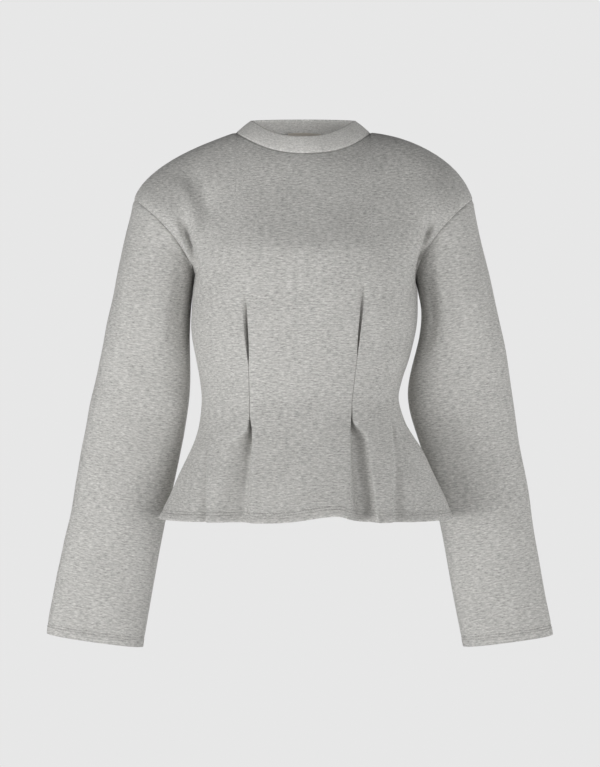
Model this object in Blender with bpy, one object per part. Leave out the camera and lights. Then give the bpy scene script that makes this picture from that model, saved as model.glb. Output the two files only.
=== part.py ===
"""Peplum sweatshirt top, filled out as worn: front, back, two sleeves, rib neckband and a blank neck label.

Metres, +Z up, the front faces -Y. The origin is the middle of the line between the two neck points of the
shoulder seams, where the wearer's shoulders hold the top up. Every panel is a wall of fleece worked out from
sections: rings round the body, columns over the shoulder and rings down the sleeve.
"""

import bmesh
import bpy
import numpy as np

MM = 0.001
HALF_PI = np.pi / 2

# Cloth
FLEECE = 2.0 * MM
RIB_DOUBLE = 3.2 * MM
LABEL_CLOTH = 1.0 * MM
SEAM_GAP = 0.3 * MM

# Driving heights, from the neck points of the shoulder seams
HEM_Z = -523 * MM
WAIST_Z = -360 * MM
UNDERARM_Z = -205 * MM

# Rings round the body: half widths to the wearer's right (-X) and left (+X), depths to front and back, and the
# power of the superellipse, 2 for an ellipse and more for a squarer ring
BODY_COLUMNS = ("z", "minus_x", "plus_x", "front", "back", "power")
BODY_RINGS = np.array([
    (-523, 196, 204, 138, 124, 2.00),
    (-499, 184, 195, 131, 118, 2.02),
    (-466, 168, 179, 122, 109, 2.06),
    (-434, 153, 163, 113, 100, 2.12),
    (-412, 145, 149, 107, 93, 2.17),
    (-390, 140, 137, 101, 87, 2.22),
    (-360, 137, 130, 98, 83, 2.26),
    (-336, 140, 135, 101, 85, 2.30),
    (-309, 145, 144, 107, 90, 2.36),
    (-281, 149, 151, 114, 95, 2.44),
    (-227, 150, 155, 122, 101, 2.58),
    (-205, 149, 155, 124, 103, 2.62),
]) * ([MM] * 5 + [1])

# The hem is cut level and hangs a little higher beside the plus-X inner tuck
HEM_RISE = 9 * MM
HEM_RISE_X = 45 * MM
HEM_RISE_WIDTHS = (50 * MM, 22 * MM)

# Tucks, one row each: x of the fold at its top, at both ends of its stitching and at the hem; where it starts
# and is sewn; how deep it is sewn; its depth, mouth and lean to centre front at the hem
TUCK_COLUMNS = ("x_top", "x_sewn_top", "x_sewn_end", "x_hem", "z_top", "z_sewn_top", "z_sewn_end",
                "depth_sewn", "depth_hem", "mouth_hem", "lean_release", "lean_hem")
FRONT_TUCKS = [dict(zip(TUCK_COLUMNS, row)) for row in (
    (-116, -116, -118, -134, -300, -340, -385, 7, 9, 40, 0.3, 0.9),
    (-77, -71, -69, -92, -216, -316, -380, 12, 17, 58, 0.7, 0.1),
    (78, 71, 65, 78, -205, -306, -366, 12, 20, 42, 0.3, 0.6),
    (116, 116, 116, 131, -300, -345, -384, 7, 11, 34, 0.3, 0.1),
)]
BACK_TUCKS = [dict(zip(TUCK_COLUMNS, row)) for row in (
    (-77, -70, -68, -84, -212, -308, -372, 11, 17, 50, 0.4, 0.2),
    (77, 71, 67, 86, -212, -308, -372, 11, 17, 50, 0.4, 0.2),
)]
TUCK_GAP = 0.8 * MM
TUCK_CORNER = 2.4 * MM
TUCK_TOP_MOUTH = 28 * MM
TUCK_POINTS = 9

# Shoulder seam of each side (-1 for -X): control points of its Bezier from the neck point over the dropped
# shoulder. The +X shoulder is worn a little higher
NECK_X = 92 * MM
SHOULDER_CONTROLS = {-1: np.array([(-92, 0, 0), (-132, 0, -14), (-212, 0, -42), (-230, 0, -92)]) * MM,
                     1: np.array([(92, 0, 0), (132, 0, -3), (212, 0, -28), (231, 0, -92)]) * MM}

# The neck is cut where the shoulders' surface meets an upright superellipse of this power, front (-1) and back.
# Inside it that surface rises to a crown, and fullness says how square it is from chest to shoulder, 1.66 for a
# quarter circle
NECK_CUT = {-1: {"depth": 77 * MM, "power": 2.7, "crown": 22 * MM, "fullness": 1.66},
            1: {"depth": 59 * MM, "power": 2.2, "crown": 25 * MM, "fullness": 2.4}}

# The bust, as height and how far the front stands out of its rings there, so that the upper chest is nearly a
# plane that leans back and breaks to the upright below it. It fades out towards the arms
BUST = np.array([
    (-290, 0),
    (-250, 1),
    (-205, 4),
    (-178, 8),
    (-164, 9),
    (-150, 6.5),
    (-128, 1),
    (-105, -3.5),
    (-80, -6),
    (-55, -5.5),
    (-30, -4.5),
    (0, 0),
    (30, 0),
]) * MM
BUST_HALF_WIDTH = 118 * MM
BUST_FULL_Y = 75 * MM

# Top edge of the standing band, with the power that says how flat its front dip is
BAND_TOP = {"half": 70 * MM, "front_y": 68 * MM, "back_y": 48 * MM,
            "front_z": -12 * MM, "side_z": 15 * MM, "back_z": 22 * MM, "front_power": 3.4}
BAND_BOW = 1.2 * MM

# How the front and back leave the underarm and arrive at the armhole's top, in Hermite tangents
ARM_BULGE = 250 * MM
ARM_RISE = 150 * MM
ARM_IN = 20 * MM

# Rings down each sleeve: centre x and y, height, half width across, half depth and tilt of the ring
SLEEVE_COLUMNS = ("x", "y", "z", "half_width", "half_depth", "tilt")
SLEEVE_RINGS = {
    "sleeve_right": np.array([
        (211.5, 10, -270, 57.5, 50, 4),
        (220, 34, -345, 65, 46, 8),
        (236.5, 50, -431.5, 67, 42, 10),
        (257, 60, -528.5, 66, 38, 10),
        (276.5, 62, -625.5, 67.5, 33, 9),
        (288, 60, -696, 67, 30, 8),
    ]),
    "sleeve_left": np.array([
        (214.5, 10, -270, 55, 50, 4),
        (214.5, 34, -345, 71, 46, 8),
        (232.5, 52, -431.5, 66.5, 42, 10),
        (253.5, 62, -528.5, 63.5, 38, 10),
        (271, 62, -625.5, 63.5, 33, 9),
        (284, 60, -696.5, 62.5, 30, 7.5),
    ]),
}

# Blank label in the back neck seam: where its middle is, its width, and its top and bottom below the seam
LABEL_X = 4 * MM
LABEL_WIDTH = 50 * MM
LABEL_TOP = 3.5 * MM
LABEL_BOTTOM = 23.5 * MM

# Grids of points: heights of the rows up the body, shares along the columns over the shoulder, columns between
# the tucks, and rows between a sleeve's rings
FRONT_ROWS = [z * MM for z in (-523, -496, -468, -442, -420, -402, -386, -370, -346, -322, -302, -281, -256,
                               -230, -205)]
BACK_ROWS = [z * MM for z in (-523, -488, -452, -420, -394, -374, -346, -312, -284, -252, -205)]
YOKE_SHARES = np.linspace(0, 1, 11)[1:]
YOKE_FRONT = len(FRONT_ROWS)
YOKE_BACK = len(BACK_ROWS)
FRONT_PLAIN = (3, 2, 6, 2, 3)
BACK_PLAIN = (6, 7, 6)
SLEEVE_ROWS_BETWEEN = (4, 2, 2, 2, 2, 2)
BAND_ROWS = 4
LABEL_COLUMNS = 7
LABEL_ROWS = 4
# Most that a wall's edge may be stretched where two walls meet at an angle
SEAM_STRETCH = 1.8


def hermite(p0, p1, t0, t1, t):
    """Cubic curve from p0 to p1 with end tangents t0 and t1, at t from 0 to 1."""
    return ((2 * t**3 - 3 * t**2 + 1) * p0 + (t**3 - 2 * t**2 + t) * t0
            + (3 * t**2 - 2 * t**3) * p1 + (t**3 - t**2) * t1)


def smooth(t):
    """0 below 0, 1 above 1 and an even ramp between."""
    t = np.clip(t, 0, 1)
    return t * t * (3 - 2 * t)


def unit(vectors):
    """The vectors scaled to length 1."""
    return vectors / np.maximum(np.linalg.norm(vectors, axis=-1, keepdims=True), 1e-12)


def read_curve(at, keys, values):
    """Smooth curve through a table: cubic pieces whose slopes are those of the neighbouring rows."""
    slopes = np.gradient(values, keys, axis=0)
    i = np.clip(np.searchsorted(keys, at) - 1, 0, len(keys) - 2)
    width = keys[i + 1] - keys[i]
    t = (at - keys[i]) / width
    if values.ndim > 1:
        width, t = width[..., None], t[..., None]
    return hermite(values[i], values[i + 1], slopes[i] * width, slopes[i + 1] * width, t)


def body_ring(angle, z, facing):
    """Point of the body's ring at an angle from centre (-90 to 90 degrees) and height; facing -1 front, 1 back."""
    sizes = dict(zip(BODY_COLUMNS[1:], read_curve(z, BODY_RINGS[:, 0], BODY_RINGS[:, 1:]).T))
    across = np.sign(np.sin(angle)) * np.abs(np.sin(angle)) ** (2 / sizes["power"])
    deep = np.abs(np.cos(angle)) ** (2 / sizes["power"])
    half = np.where(angle < 0, sizes["minus_x"], sizes["plus_x"])
    depth = sizes["front"] if facing < 0 else sizes["back"]
    return np.stack([across * half, facing * depth * deep, z + 0 * angle], axis=-1)


def angle_at(x, z):
    """The angle at which the body's ring has this x."""
    sizes = dict(zip(BODY_COLUMNS[1:], read_curve(np.array([z]), BODY_RINGS[:, 0], BODY_RINGS[:, 1:])[0]))
    share = np.clip(x / (sizes["minus_x"] if x < 0 else sizes["plus_x"]), -1, 1)
    return np.sign(share) * np.arcsin(np.abs(share) ** (sizes["power"] / 2))


def tuck_at(tuck, z):
    """A tuck's size at one height: x of its mouth, mouth width, depth, lean and how far it is shut, 0 to 1."""
    top, sewn_top, sewn_end = (tuck[k] * MM for k in ("z_top", "z_sewn_top", "z_sewn_end"))
    sewn, hem_depth, mouth = (tuck[k] * MM for k in ("depth_sewn", "depth_hem", "mouth_hem"))
    heights = np.array([HEM_Z, sewn_end, sewn_top, top])
    x = np.interp(z, heights, [tuck[k] * MM for k in ("x_hem", "x_sewn_end", "x_sewn_top", "x_top")])
    above = smooth((z - sewn_top) / (top - sewn_top))
    below = np.clip((sewn_end - z) / (sewn_end - HEM_Z), 0, 1)
    shut_mouth = TUCK_GAP + 2 * TUCK_CORNER
    wide = shut_mouth + (TUCK_TOP_MOUTH - shut_mouth) * above + (mouth - shut_mouth) * below**0.8
    depth = sewn * (1 - above) ** 1.3 + (hem_depth - sewn) * below
    lean = tuck["lean_release"] * smooth(below * 6) + (tuck["lean_hem"] - tuck["lean_release"]) * below
    shut = (1 - smooth(above * 1.25)) * (1 - smooth(below * 4.5))
    return x, wide, depth, lean, shut


def tuck_profile(wide, depth, lean, shut):
    """Across a tuck: offsets along the ring and inwards. A shut tuck is a narrow U with rounded lips, an open
    one a wave; shut blends the two, and lean slides the deep part sideways under the lip."""
    q = np.linspace(-1, 1, TUCK_POINTS)
    lip = np.array([1.0, 0.45, 0.0, 0.0, 0.0]) * TUCK_CORNER + TUCK_GAP / 2
    inward = np.array([0.0, 0.22 * TUCK_CORNER, TUCK_CORNER, 0.55 * depth, depth])
    inward = np.maximum.accumulate(inward)
    side = np.concatenate([-lip[:-1], [0.0], lip[-2::-1]])
    into = np.concatenate([inward[:-1], [inward[-1] + TUCK_GAP], inward[-2::-1]])
    wave_side = q * wide / 2
    wave_into = depth * (1 + np.cos(np.pi * q)) / 2
    across = shut * side + (1 - shut) * wave_side
    inwards = shut * into + (1 - shut) * wave_into
    return across + lean * inwards * (1 - shut), inwards


def ring_row(z, tucks, plain, facing):
    """One row of a panel round the body, seam to seam, with its tucks; plain counts the columns between them.
    Returns the points and each column's angle on the plain ring."""
    dense = np.linspace(-HALF_PI, HALF_PI, 721)
    line = body_ring(dense, np.full_like(dense, z), facing)
    arc = np.concatenate([[0], np.cumsum(np.linalg.norm(np.diff(line, axis=0), axis=1))])
    stations, inwards = [], []
    start = 0.0
    for tuck, count in zip([*tucks, None], plain):
        if tuck is None:
            stop = arc[-1]
        else:
            x, wide, depth, lean, shut = tuck_at(tuck, z)
            middle = np.interp(angle_at(x, z), dense, arc)
            across, into = tuck_profile(wide, depth, -np.sign(x) * lean, shut)
            stop = middle + across[0]
        run = np.linspace(start, stop, count + 1)
        stations.append(run if tuck is None else run[:-1])
        inwards.append(np.zeros(len(stations[-1])))
        if tuck is not None:
            stations.append(middle + across[:-1])
            inwards.append(into[:-1])
            start = middle + across[-1]
    station, into = np.concatenate(stations), np.concatenate(inwards)
    angle = np.interp(station, arc, dense)
    point = body_ring(angle, np.full_like(angle, z), facing)
    ahead = body_ring(np.clip(angle + 0.01, -HALF_PI, HALF_PI), np.full_like(angle, z), facing)
    behind = body_ring(np.clip(angle - 0.01, -HALF_PI, HALF_PI), np.full_like(angle, z), facing)
    along = unit(ahead - behind)
    inward = np.stack([along[:, 1], -along[:, 0], 0 * z + 0 * angle], axis=1) * facing
    point = point + inward * into[:, None]
    beside = point[:, 0] - HEM_RISE_X
    beside /= np.where(beside < 0, *HEM_RISE_WIDTHS)
    rise = HEM_RISE * np.exp(-(beside**2)) if facing < 0 else 0
    point[:, 2] += rise * np.clip((WAIST_Z - z) / (WAIST_Z - HEM_Z), 0, 1)
    return point, angle


def shoulder_line(share, side):
    """Bezier along a side's shoulder seam, share 0 at the neck point and 1 at the armhole."""
    t = share[:, None]
    c = SHOULDER_CONTROLS[side]
    return (1 - t) ** 3 * c[0] + 3 * t * (1 - t) ** 2 * c[1] + 3 * t**2 * (1 - t) * c[2] + t**3 * c[3]


def neck_columns(base):
    """Column numbers of the two neck points: those whose x at the underarm is nearest to the neck's."""
    return [int(np.argmin(np.abs(base[:, 0] + NECK_X))), int(np.argmin(np.abs(base[:, 0] - NECK_X)))]


def ridge_line(base, angle, facing):
    """Where the columns reach the plane y = 0: along the shoulder seams, and over the crown between them.
    Also gives how far along the shoulder each column is, 0 inside the neck and 1 at the armhole."""
    low, high = neck_columns(base)
    share = np.where(angle < 0, (angle - angle[low]) / (-HALF_PI - angle[low]),
                     (angle - angle[high]) / (HALF_PI - angle[high]))
    share = np.clip(share, 0, 1)
    seam = np.where(angle[:, None] < 0, shoulder_line(share, -1), shoulder_line(share, 1))
    scale = np.where(angle < 0, -NECK_X / base[low, 0], NECK_X / base[high, 0])
    x = base[:, 0] * scale
    slopes = [np.abs((c[1] - c[0])[2] / (c[1] - c[0])[0]) for c in (SHOULDER_CONTROLS[-1], SHOULDER_CONTROLS[1])]
    crown = NECK_CUT[facing]["crown"]
    bend = np.where(angle < 0, *slopes) * NECK_X / (2 * crown) - 1
    square = (x / NECK_X) ** 2
    over = np.stack([x, 0 * x, crown * (1 - square) * (1 + bend * square)], axis=1)
    inside = (np.arange(len(angle)) > low) & (np.arange(len(angle)) < high)
    return np.where(inside[:, None], over, seam), share, inside


def bust_out(point):
    """Moves points of the front out by the bust's table, less and less towards the arms and the shoulder seams."""
    z = np.clip(point[..., 2], BUST[0, 0], BUST[-1, 0])
    out = read_curve(z.ravel(), BUST[:, 0], BUST[:, 1]).reshape(z.shape)
    moved = point.copy()
    middle = np.exp(-((np.abs(point[..., 0]) / BUST_HALF_WIDTH) ** 4))
    moved[..., 1] -= out * middle * smooth(-point[..., 1] / BUST_FULL_Y)
    return moved


def yoke_rows(base, angle, facing, shares):
    """Columns from the underarm ring over the shoulder, as Hermite curves. Those inside the neck stop at the
    neck's ellipse. The outer ones swing forward round the arm, so that the last is half of the armhole."""
    top, along, inside = ridge_line(base, angle, facing)
    side = np.sign(angle)
    height = (top - base)[:, 2]
    cut = NECK_CUT[facing]
    full = cut["fullness"]
    near_arm = smooth((along - 0.2) / 0.8)[:, None]
    up = np.stack([0 * angle, 0 * angle, full * height], axis=1)
    round_arm = np.stack([-side * ARM_IN, 0 * angle + facing * ARM_BULGE, 0 * angle + ARM_RISE], axis=1)
    leave = (1 - near_arm) * up + near_arm * round_arm
    reach = full * np.abs(base[:, 1]) * (1 - near_arm[:, 0]) + ARM_BULGE * near_arm[:, 0]
    arrive = np.stack([0 * angle, -facing * reach, 0 * angle], axis=1)
    stop = np.ones(len(angle))
    dense = np.linspace(0, 1, 401)
    for i in np.flatnonzero(inside):
        level = (1 - np.abs(top[i, 0] / NECK_X) ** cut["power"]) ** (1 / cut["power"]) * cut["depth"]
        column = hermite(base[i], top[i], leave[i], arrive[i], dense[:, None])
        depth = np.abs((bust_out(column) if facing < 0 else column)[:, 1])
        stop[i] = np.interp(-level, -depth, dense)
    return [hermite(base, top, leave, arrive, t * stop[:, None]) for t in shares]


def panel(heights, shares, tucks, plain, facing):
    """Outer points of the front or back: rows up the body, then columns over the shoulder."""
    rows = [ring_row(z, tucks, plain, facing) for z in heights]
    base, angle = rows[-1]
    points = np.array([points for points, _ in rows] + yoke_rows(base, angle, facing, shares))
    return bust_out(points) if facing < 0 else points


def sleeve_rings(name, armhole, rows_between):
    """Outer points of a sleeve from its armhole loop down the table's rings; the loop starts at the underarm
    and goes round by the front."""
    side = 1 if name.endswith("left") else -1
    turn = np.linspace(0, 2 * np.pi, len(armhole) + 1)[:-1]
    loops = [armhole]
    for row in SLEEVE_RINGS[name]:
        ring = dict(zip(SLEEVE_COLUMNS, row))
        tilt = np.radians(ring["tilt"])
        across = -np.cos(turn) * ring["half_width"]
        deep = -np.sin(turn) * ring["half_depth"]
        loops.append(np.stack([side * (ring["x"] + across * np.cos(tilt)), ring["y"] + deep,
                               ring["z"] + across * np.sin(tilt)], axis=1) * MM)
    loops = np.array(loops)
    keys = np.concatenate([[0], np.cumsum(np.linalg.norm(np.diff(loops.mean(axis=1), axis=0), axis=1))])
    at = np.concatenate([np.linspace(keys[i], keys[i + 1], n + 1)[:-1] for i, n in enumerate(rows_between)])
    at = np.append(at, keys[-1])
    flat = read_curve(at, keys, loops.reshape(len(loops), -1))
    return flat.reshape(len(at), len(armhole), 3)


def band_rings(seam, rows):
    """Outer points of the standing neckband from its seam loop to its top edge, bowed out a little between."""
    turn = np.arcsin(np.clip(seam[:, 0] / NECK_X, -1, 1))
    front = seam[:, 1] < 0
    depth = np.where(front, -BAND_TOP["front_y"], BAND_TOP["back_y"])
    dip = np.where(front, BAND_TOP["front_z"], BAND_TOP["back_z"])
    rise = np.where(front, 1 - np.abs(np.sin(turn)) ** BAND_TOP["front_power"], np.cos(turn))
    top = np.stack([BAND_TOP["half"] * np.sin(turn), depth * np.cos(turn),
                    BAND_TOP["side_z"] + (dip - BAND_TOP["side_z"]) * rise], axis=1)
    out = unit(top * [1, 1, 0])
    return np.array([seam + (top - seam) * t + out * BAND_BOW * 4 * t * (1 - t)
                     for t in np.linspace(0, 1, rows)])


def label_points(inner, inward):
    """Points of the back's inside, and its inward directions, over the label's rectangle below the neck seam."""
    low, high = neck_columns(inner[YOKE_BACK - 1])
    across = slice(low + 1, high)
    columns = LABEL_X + np.linspace(-0.5, 0.5, LABEL_COLUMNS) * LABEL_WIDTH
    places, directions = [], []
    for x in columns:
        line = np.array([[np.interp(x, row[across, 0], row[across, k]) for k in range(3)]
                         for row in inner[:YOKE_BACK - 2:-1]])
        way = np.array([[np.interp(x, row[across, 0], move[across, k]) for k in range(3)]
                        for row, move in zip(inner[:YOKE_BACK - 2:-1], inward[:YOKE_BACK - 2:-1])])
        run = np.concatenate([[0], np.cumsum(np.linalg.norm(np.diff(line, axis=0), axis=1))])
        down = np.linspace(LABEL_TOP, LABEL_BOTTOM, LABEL_ROWS)
        places.append(np.stack([np.interp(down, run, line[:, k]) for k in range(3)], axis=1))
        directions.append(np.stack([np.interp(down, run, way[:, k]) for k in range(3)], axis=1))
    return np.array(places).transpose(1, 0, 2), np.array(directions).transpose(1, 0, 2)


def face_normals(grid, closed):
    """Normals of the grid's quads, rows by columns."""
    right = np.roll(grid, -1, axis=1) if closed else grid[:, 1:]
    left = grid if closed else grid[:, :-1]
    diagonal_a = right[1:] - left[:-1]
    diagonal_b = left[1:] - right[:-1]
    return unit(np.cross(diagonal_a, diagonal_b))


def inner_offsets(grid, closed, facing_out):
    """For each point, the vector that moves every plane that meets there inwards by one unit: the least
    squares answer, with a pull to the shortest one."""
    normal = face_normals(grid, closed) * facing_out
    rows, columns = grid.shape[:2]
    matrix = np.zeros((rows, columns, 3, 3))
    total = np.zeros((rows, columns, 3))
    outer = normal[..., :, None] * normal[..., None, :]
    for down in (0, 1):
        for step in (0, 1):
            rows_at = slice(down, rows - 1 + down)
            if closed:
                matrix[rows_at] += np.roll(outer, step, axis=1)
                total[rows_at] += np.roll(normal, step, axis=1)
            else:
                matrix[rows_at, step:columns - 1 + step] += outer
                total[rows_at, step:columns - 1 + step] += normal
    move = -np.linalg.solve(matrix + 0.08 * np.eye(3), total[..., None])[..., 0]
    length = np.linalg.norm(move, axis=2, keepdims=True)
    return move / length * np.clip(length, 0.95, 1.5)


def outward_sign(rings):
    """1 where a tube's face normals already point away from its axis, else -1."""
    normal = face_normals(rings, True)
    away = rings[:-1] - rings[:-1].mean(axis=1, keepdims=True)
    return np.sign(np.sum(normal * away))


def build_wall(name, outer, inner, closed, material):
    """A closed solid between two grids of points, its rims joined, as one object."""
    rows, columns = outer.shape[:2]
    index = np.arange(rows * columns).reshape(rows, columns)
    wrapped = np.concatenate([index, index[:, :1]], axis=1) if closed else index
    a, b = wrapped[:-1, :-1], wrapped[:-1, 1:]
    c, d = wrapped[1:, 1:], wrapped[1:, :-1]
    skin = np.stack([a, b, c, d], axis=-1).reshape(-1, 4)
    lining = skin[:, ::-1] + rows * columns
    rims = [wrapped[0, ::-1], wrapped[-1]]
    if not closed:
        rims += [wrapped[:, 0], wrapped[::-1, -1]]
    edges = [np.stack([rim[:-1], rim[1:], rim[1:] + rows * columns, rim[:-1] + rows * columns], axis=1)
             for rim in rims]
    faces = np.concatenate([skin, lining, *edges])
    points = np.concatenate([outer.reshape(-1, 3), inner.reshape(-1, 3)])
    mesh = bpy.data.meshes.new(name)
    mesh.from_pydata(points.tolist(), [], faces.tolist())
    work = bmesh.new()
    work.from_mesh(mesh)
    bmesh.ops.triangulate(work, faces=work.faces[:])
    bmesh.ops.recalc_face_normals(work, faces=work.faces[:])
    work.to_mesh(mesh)
    work.free()
    mesh.shade_smooth()
    mesh.set_sharp_from_angle(angle=np.radians(50))
    mesh.materials.append(material)
    thing = bpy.data.objects.new(name, mesh)
    bpy.context.scene.collection.objects.link(thing)
    return thing


def cloth_material(name, colour, roughness):
    """A plain Principled cloth."""
    material = bpy.data.materials.new(name)
    material.use_nodes = True
    shader = material.node_tree.nodes["Principled BSDF"]
    shader.inputs["Base Color"].default_value = (*colour, 1)
    shader.inputs["Roughness"].default_value = roughness
    shader.inputs["Metallic"].default_value = 0.0
    return material


def seam_loop(front_edge, back_edge):
    """Joins a front edge and a back edge that share both ends into one loop, front first."""
    ends = (front_edge[[0, -1]] + back_edge[[0, -1]]) / 2
    return np.concatenate([ends[:1], front_edge[1:-1], ends[1:], back_edge[-2:0:-1]])


def seam_frame(loop, inward_a, inward_b, towards):
    """For a seam between two walls, the direction of its rim, which halves the angle between them, and the
    direction across the seam, from the first wall to the second; towards says roughly which way that is."""
    along = unit(np.roll(loop, -1, axis=0) - np.roll(loop, 1, axis=0))
    rim = unit(inward_a) + unit(inward_b)
    rim = unit(rim - along * np.sum(rim * along, axis=1, keepdims=True))
    across = np.cross(along, rim)
    across *= np.sign(np.sum(across * towards, axis=1, keepdims=True))
    stretch = 1 / np.clip(np.sum(rim * unit(inward_a), axis=1, keepdims=True), 1 / SEAM_STRETCH, 1)
    return rim * stretch, across


def split_loop(values, count):
    """A loop's values as a front edge and a back edge, both with the shared ends; count is the front's length."""
    return values[:count], np.concatenate([values[:1], values[:count - 2:-1]])


def main():
    """Removes what is there and makes the six pieces of the top."""
    for thing in list(bpy.data.objects):
        bpy.data.objects.remove(thing)
    fleece = cloth_material("grey_marl_fleece", (0.36, 0.36, 0.345), 0.92)
    rib = cloth_material("grey_marl_rib", (0.37, 0.37, 0.36), 0.9)
    cotton = cloth_material("cream_label", (0.78, 0.74, 0.66), 0.8)

    front = panel(FRONT_ROWS, YOKE_SHARES, FRONT_TUCKS, FRONT_PLAIN, -1)
    back = panel(BACK_ROWS, YOKE_SHARES, BACK_TUCKS, BACK_PLAIN, 1)
    front_in = inner_offsets(front, False, 1)
    back_in = inner_offsets(back, False, -1)
    outer = {"front": front.copy(), "back": back.copy()}
    inner = {"front": front + front_in * FLEECE, "back": back + back_in * FLEECE}

    neck_front = slice(neck_columns(front[YOKE_FRONT - 1])[0], neck_columns(front[YOKE_FRONT - 1])[1] + 1)
    neck_back = slice(neck_columns(back[YOKE_BACK - 1])[0], neck_columns(back[YOKE_BACK - 1])[1] + 1)
    neck = seam_loop(front[-1, neck_front], back[-1, neck_back])
    neck_in = seam_loop(front_in[-1, neck_front], back_in[-1, neck_back])
    rim, across = seam_frame(neck, neck_in, neck_in, neck * [-1, -1, 0] + [0, 0, 0.02])
    count = neck_front.stop - neck_front.start
    for name, columns, rims, shifts in zip(("front", "back"), (neck_front, neck_back),
                                           split_loop(rim, count), split_loop(across, count)):
        outer[name][-1, columns] -= shifts * SEAM_GAP / 2
        inner[name][-1, columns] = outer[name][-1, columns] + rims * FLEECE
    band = band_rings(neck + across * SEAM_GAP / 2, BAND_ROWS)
    band_inner = band + inner_offsets(band, True, outward_sign(band)) * RIB_DOUBLE
    band_inner[0] = band[0] + rim * RIB_DOUBLE

    for name, side in (("sleeve_right", 0), ("sleeve_left", -1)):
        sign = 1 if side else -1
        loop = seam_loop(front[YOKE_FRONT - 1:, side], back[YOKE_BACK - 1:, side])
        loop_in = seam_loop(front_in[YOKE_FRONT - 1:, side], back_in[YOKE_BACK - 1:, side])
        sleeve = sleeve_rings(name, loop, SLEEVE_ROWS_BETWEEN)
        sleeve_in = inner_offsets(sleeve, True, outward_sign(sleeve))
        rim, across = seam_frame(loop, loop_in, sleeve_in[0], [sign, 0, -0.6])
        edges = zip(("front", "back"), (YOKE_FRONT - 1, YOKE_BACK - 1),
                    split_loop(rim, len(YOKE_SHARES) + 1), split_loop(across, len(YOKE_SHARES) + 1))
        for panel_name, start, rims, shifts in edges:
            outer[panel_name][start:, side] -= shifts * SEAM_GAP / 2
            inner[panel_name][start:, side] = outer[panel_name][start:, side] + rims * FLEECE
        sleeve[0] += across * SEAM_GAP / 2
        lining = sleeve + sleeve_in * FLEECE
        lining[0] = sleeve[0] + rim * FLEECE
        build_wall(name, sleeve, lining, True, fleece)

    for name, facing, start in (("front", -1, YOKE_FRONT), ("back", 1, YOKE_BACK)):
        on_shoulder = np.abs(front[-1, :, 1] if facing < 0 else back[-1, :, 1]) < 1e-6
        for grid in (outer[name], inner[name]):
            grid[:start, [0, -1], 1] = facing * SEAM_GAP / 2
            grid[-1, on_shoulder, 1] = facing * SEAM_GAP / 2
        build_wall(name, outer[name], inner[name], False, fleece)
    build_wall("neckband", band, band_inner, True, rib)
    place, way = label_points(inner["back"], back_in)
    build_wall("neck_label", place + unit(way) * (SEAM_GAP + LABEL_CLOTH), place + unit(way) * SEAM_GAP, False,
               cotton)


main()
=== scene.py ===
"""Looks of a grey marl peplum top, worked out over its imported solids.

Every cloth piece is a thin shell on the form of its solid, on a finer grid and with the creases, seams,
hems and stitching that the solids leave out. Lengths are in metres, +Z up, and the front faces -Y. The
origin is the middle of the line between the two neck points of the shoulder seams.
"""

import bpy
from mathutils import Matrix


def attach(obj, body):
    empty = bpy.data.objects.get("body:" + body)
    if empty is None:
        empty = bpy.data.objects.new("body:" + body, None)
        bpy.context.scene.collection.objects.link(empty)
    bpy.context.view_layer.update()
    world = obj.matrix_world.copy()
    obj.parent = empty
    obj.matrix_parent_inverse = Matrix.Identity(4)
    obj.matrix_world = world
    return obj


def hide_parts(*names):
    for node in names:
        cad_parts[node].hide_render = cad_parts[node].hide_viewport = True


bl_info = {
    "name": "Peplum top looks",
    "version": (1, 0, 0),
    "blender": (4, 5, 0),
    "location": "3D View > Sidebar > Peplum top",
    "description": "Builds the fleece panels, sleeves, rib neckband, label, stitching and the studio",
    "category": "Object",
}

import bpy
import numpy as np
from bpy.props import FloatProperty, FloatVectorProperty, PointerProperty
from mathutils import Vector

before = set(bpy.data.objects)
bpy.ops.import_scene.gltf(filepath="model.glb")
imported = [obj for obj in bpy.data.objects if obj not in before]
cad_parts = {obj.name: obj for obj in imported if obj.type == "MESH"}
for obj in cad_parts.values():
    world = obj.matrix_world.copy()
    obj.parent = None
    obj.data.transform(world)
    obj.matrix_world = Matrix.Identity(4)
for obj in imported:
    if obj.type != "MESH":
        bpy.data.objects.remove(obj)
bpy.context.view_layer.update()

MM = 0.001
HALF_PI = np.pi / 2
FAR = 1.0

# Heights of the hem, waist and underarm, from the neck points of the shoulder seams
HEM_Z = -523 * MM
WAIST_Z = -360 * MM
UNDERARM_Z = -205 * MM

# Thickness of each cloth, the gap between two pieces at a seam and how deep a seam dips
WALL = 2.0 * MM
BAND_WALL = 3.2 * MM
LABEL_WALL = 1.0 * MM
SEAM_GAP = 0.3 * MM
SEAM_DIP = 1.1 * MM
SLEEVE_SEAM_DIP = 0.6 * MM
SEAM_DIP_WIDTH = 1.8 * MM

# Turned hems: height of the upper row of stitching over the edge, how far below it the lower row lies,
# how proud the doubled cloth stands, how much thicker it is inside and how deep and wide the stitching
# pulls the cloth in
HEM_DEPTH = 12.5 * MM
CUFF_DEPTH = 13.5 * MM
STITCH_ROWS_APART = 3.6 * MM
HEM_PROUD = 0.45 * MM
HEM_FADE = 3 * MM
HEM_TURNED = 1.3 * MM
STITCH_DIP = 0.8 * MM
STITCH_DIP_WIDTH = 0.9 * MM

# A stitch: its half length as a share of the pitch, the sides of its thread, its thickness from end to
# end, how high its ends lie over the cloth and how much higher its middle, as shares of the thickness
STITCH_SHARE = 0.42
STITCH_SIDES = 5
STITCH_TAPER = np.array([0.55, 1, 1, 1, 0.55])
STITCH_FOOT = 0.15
STITCH_ARCH = 0.35

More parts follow.
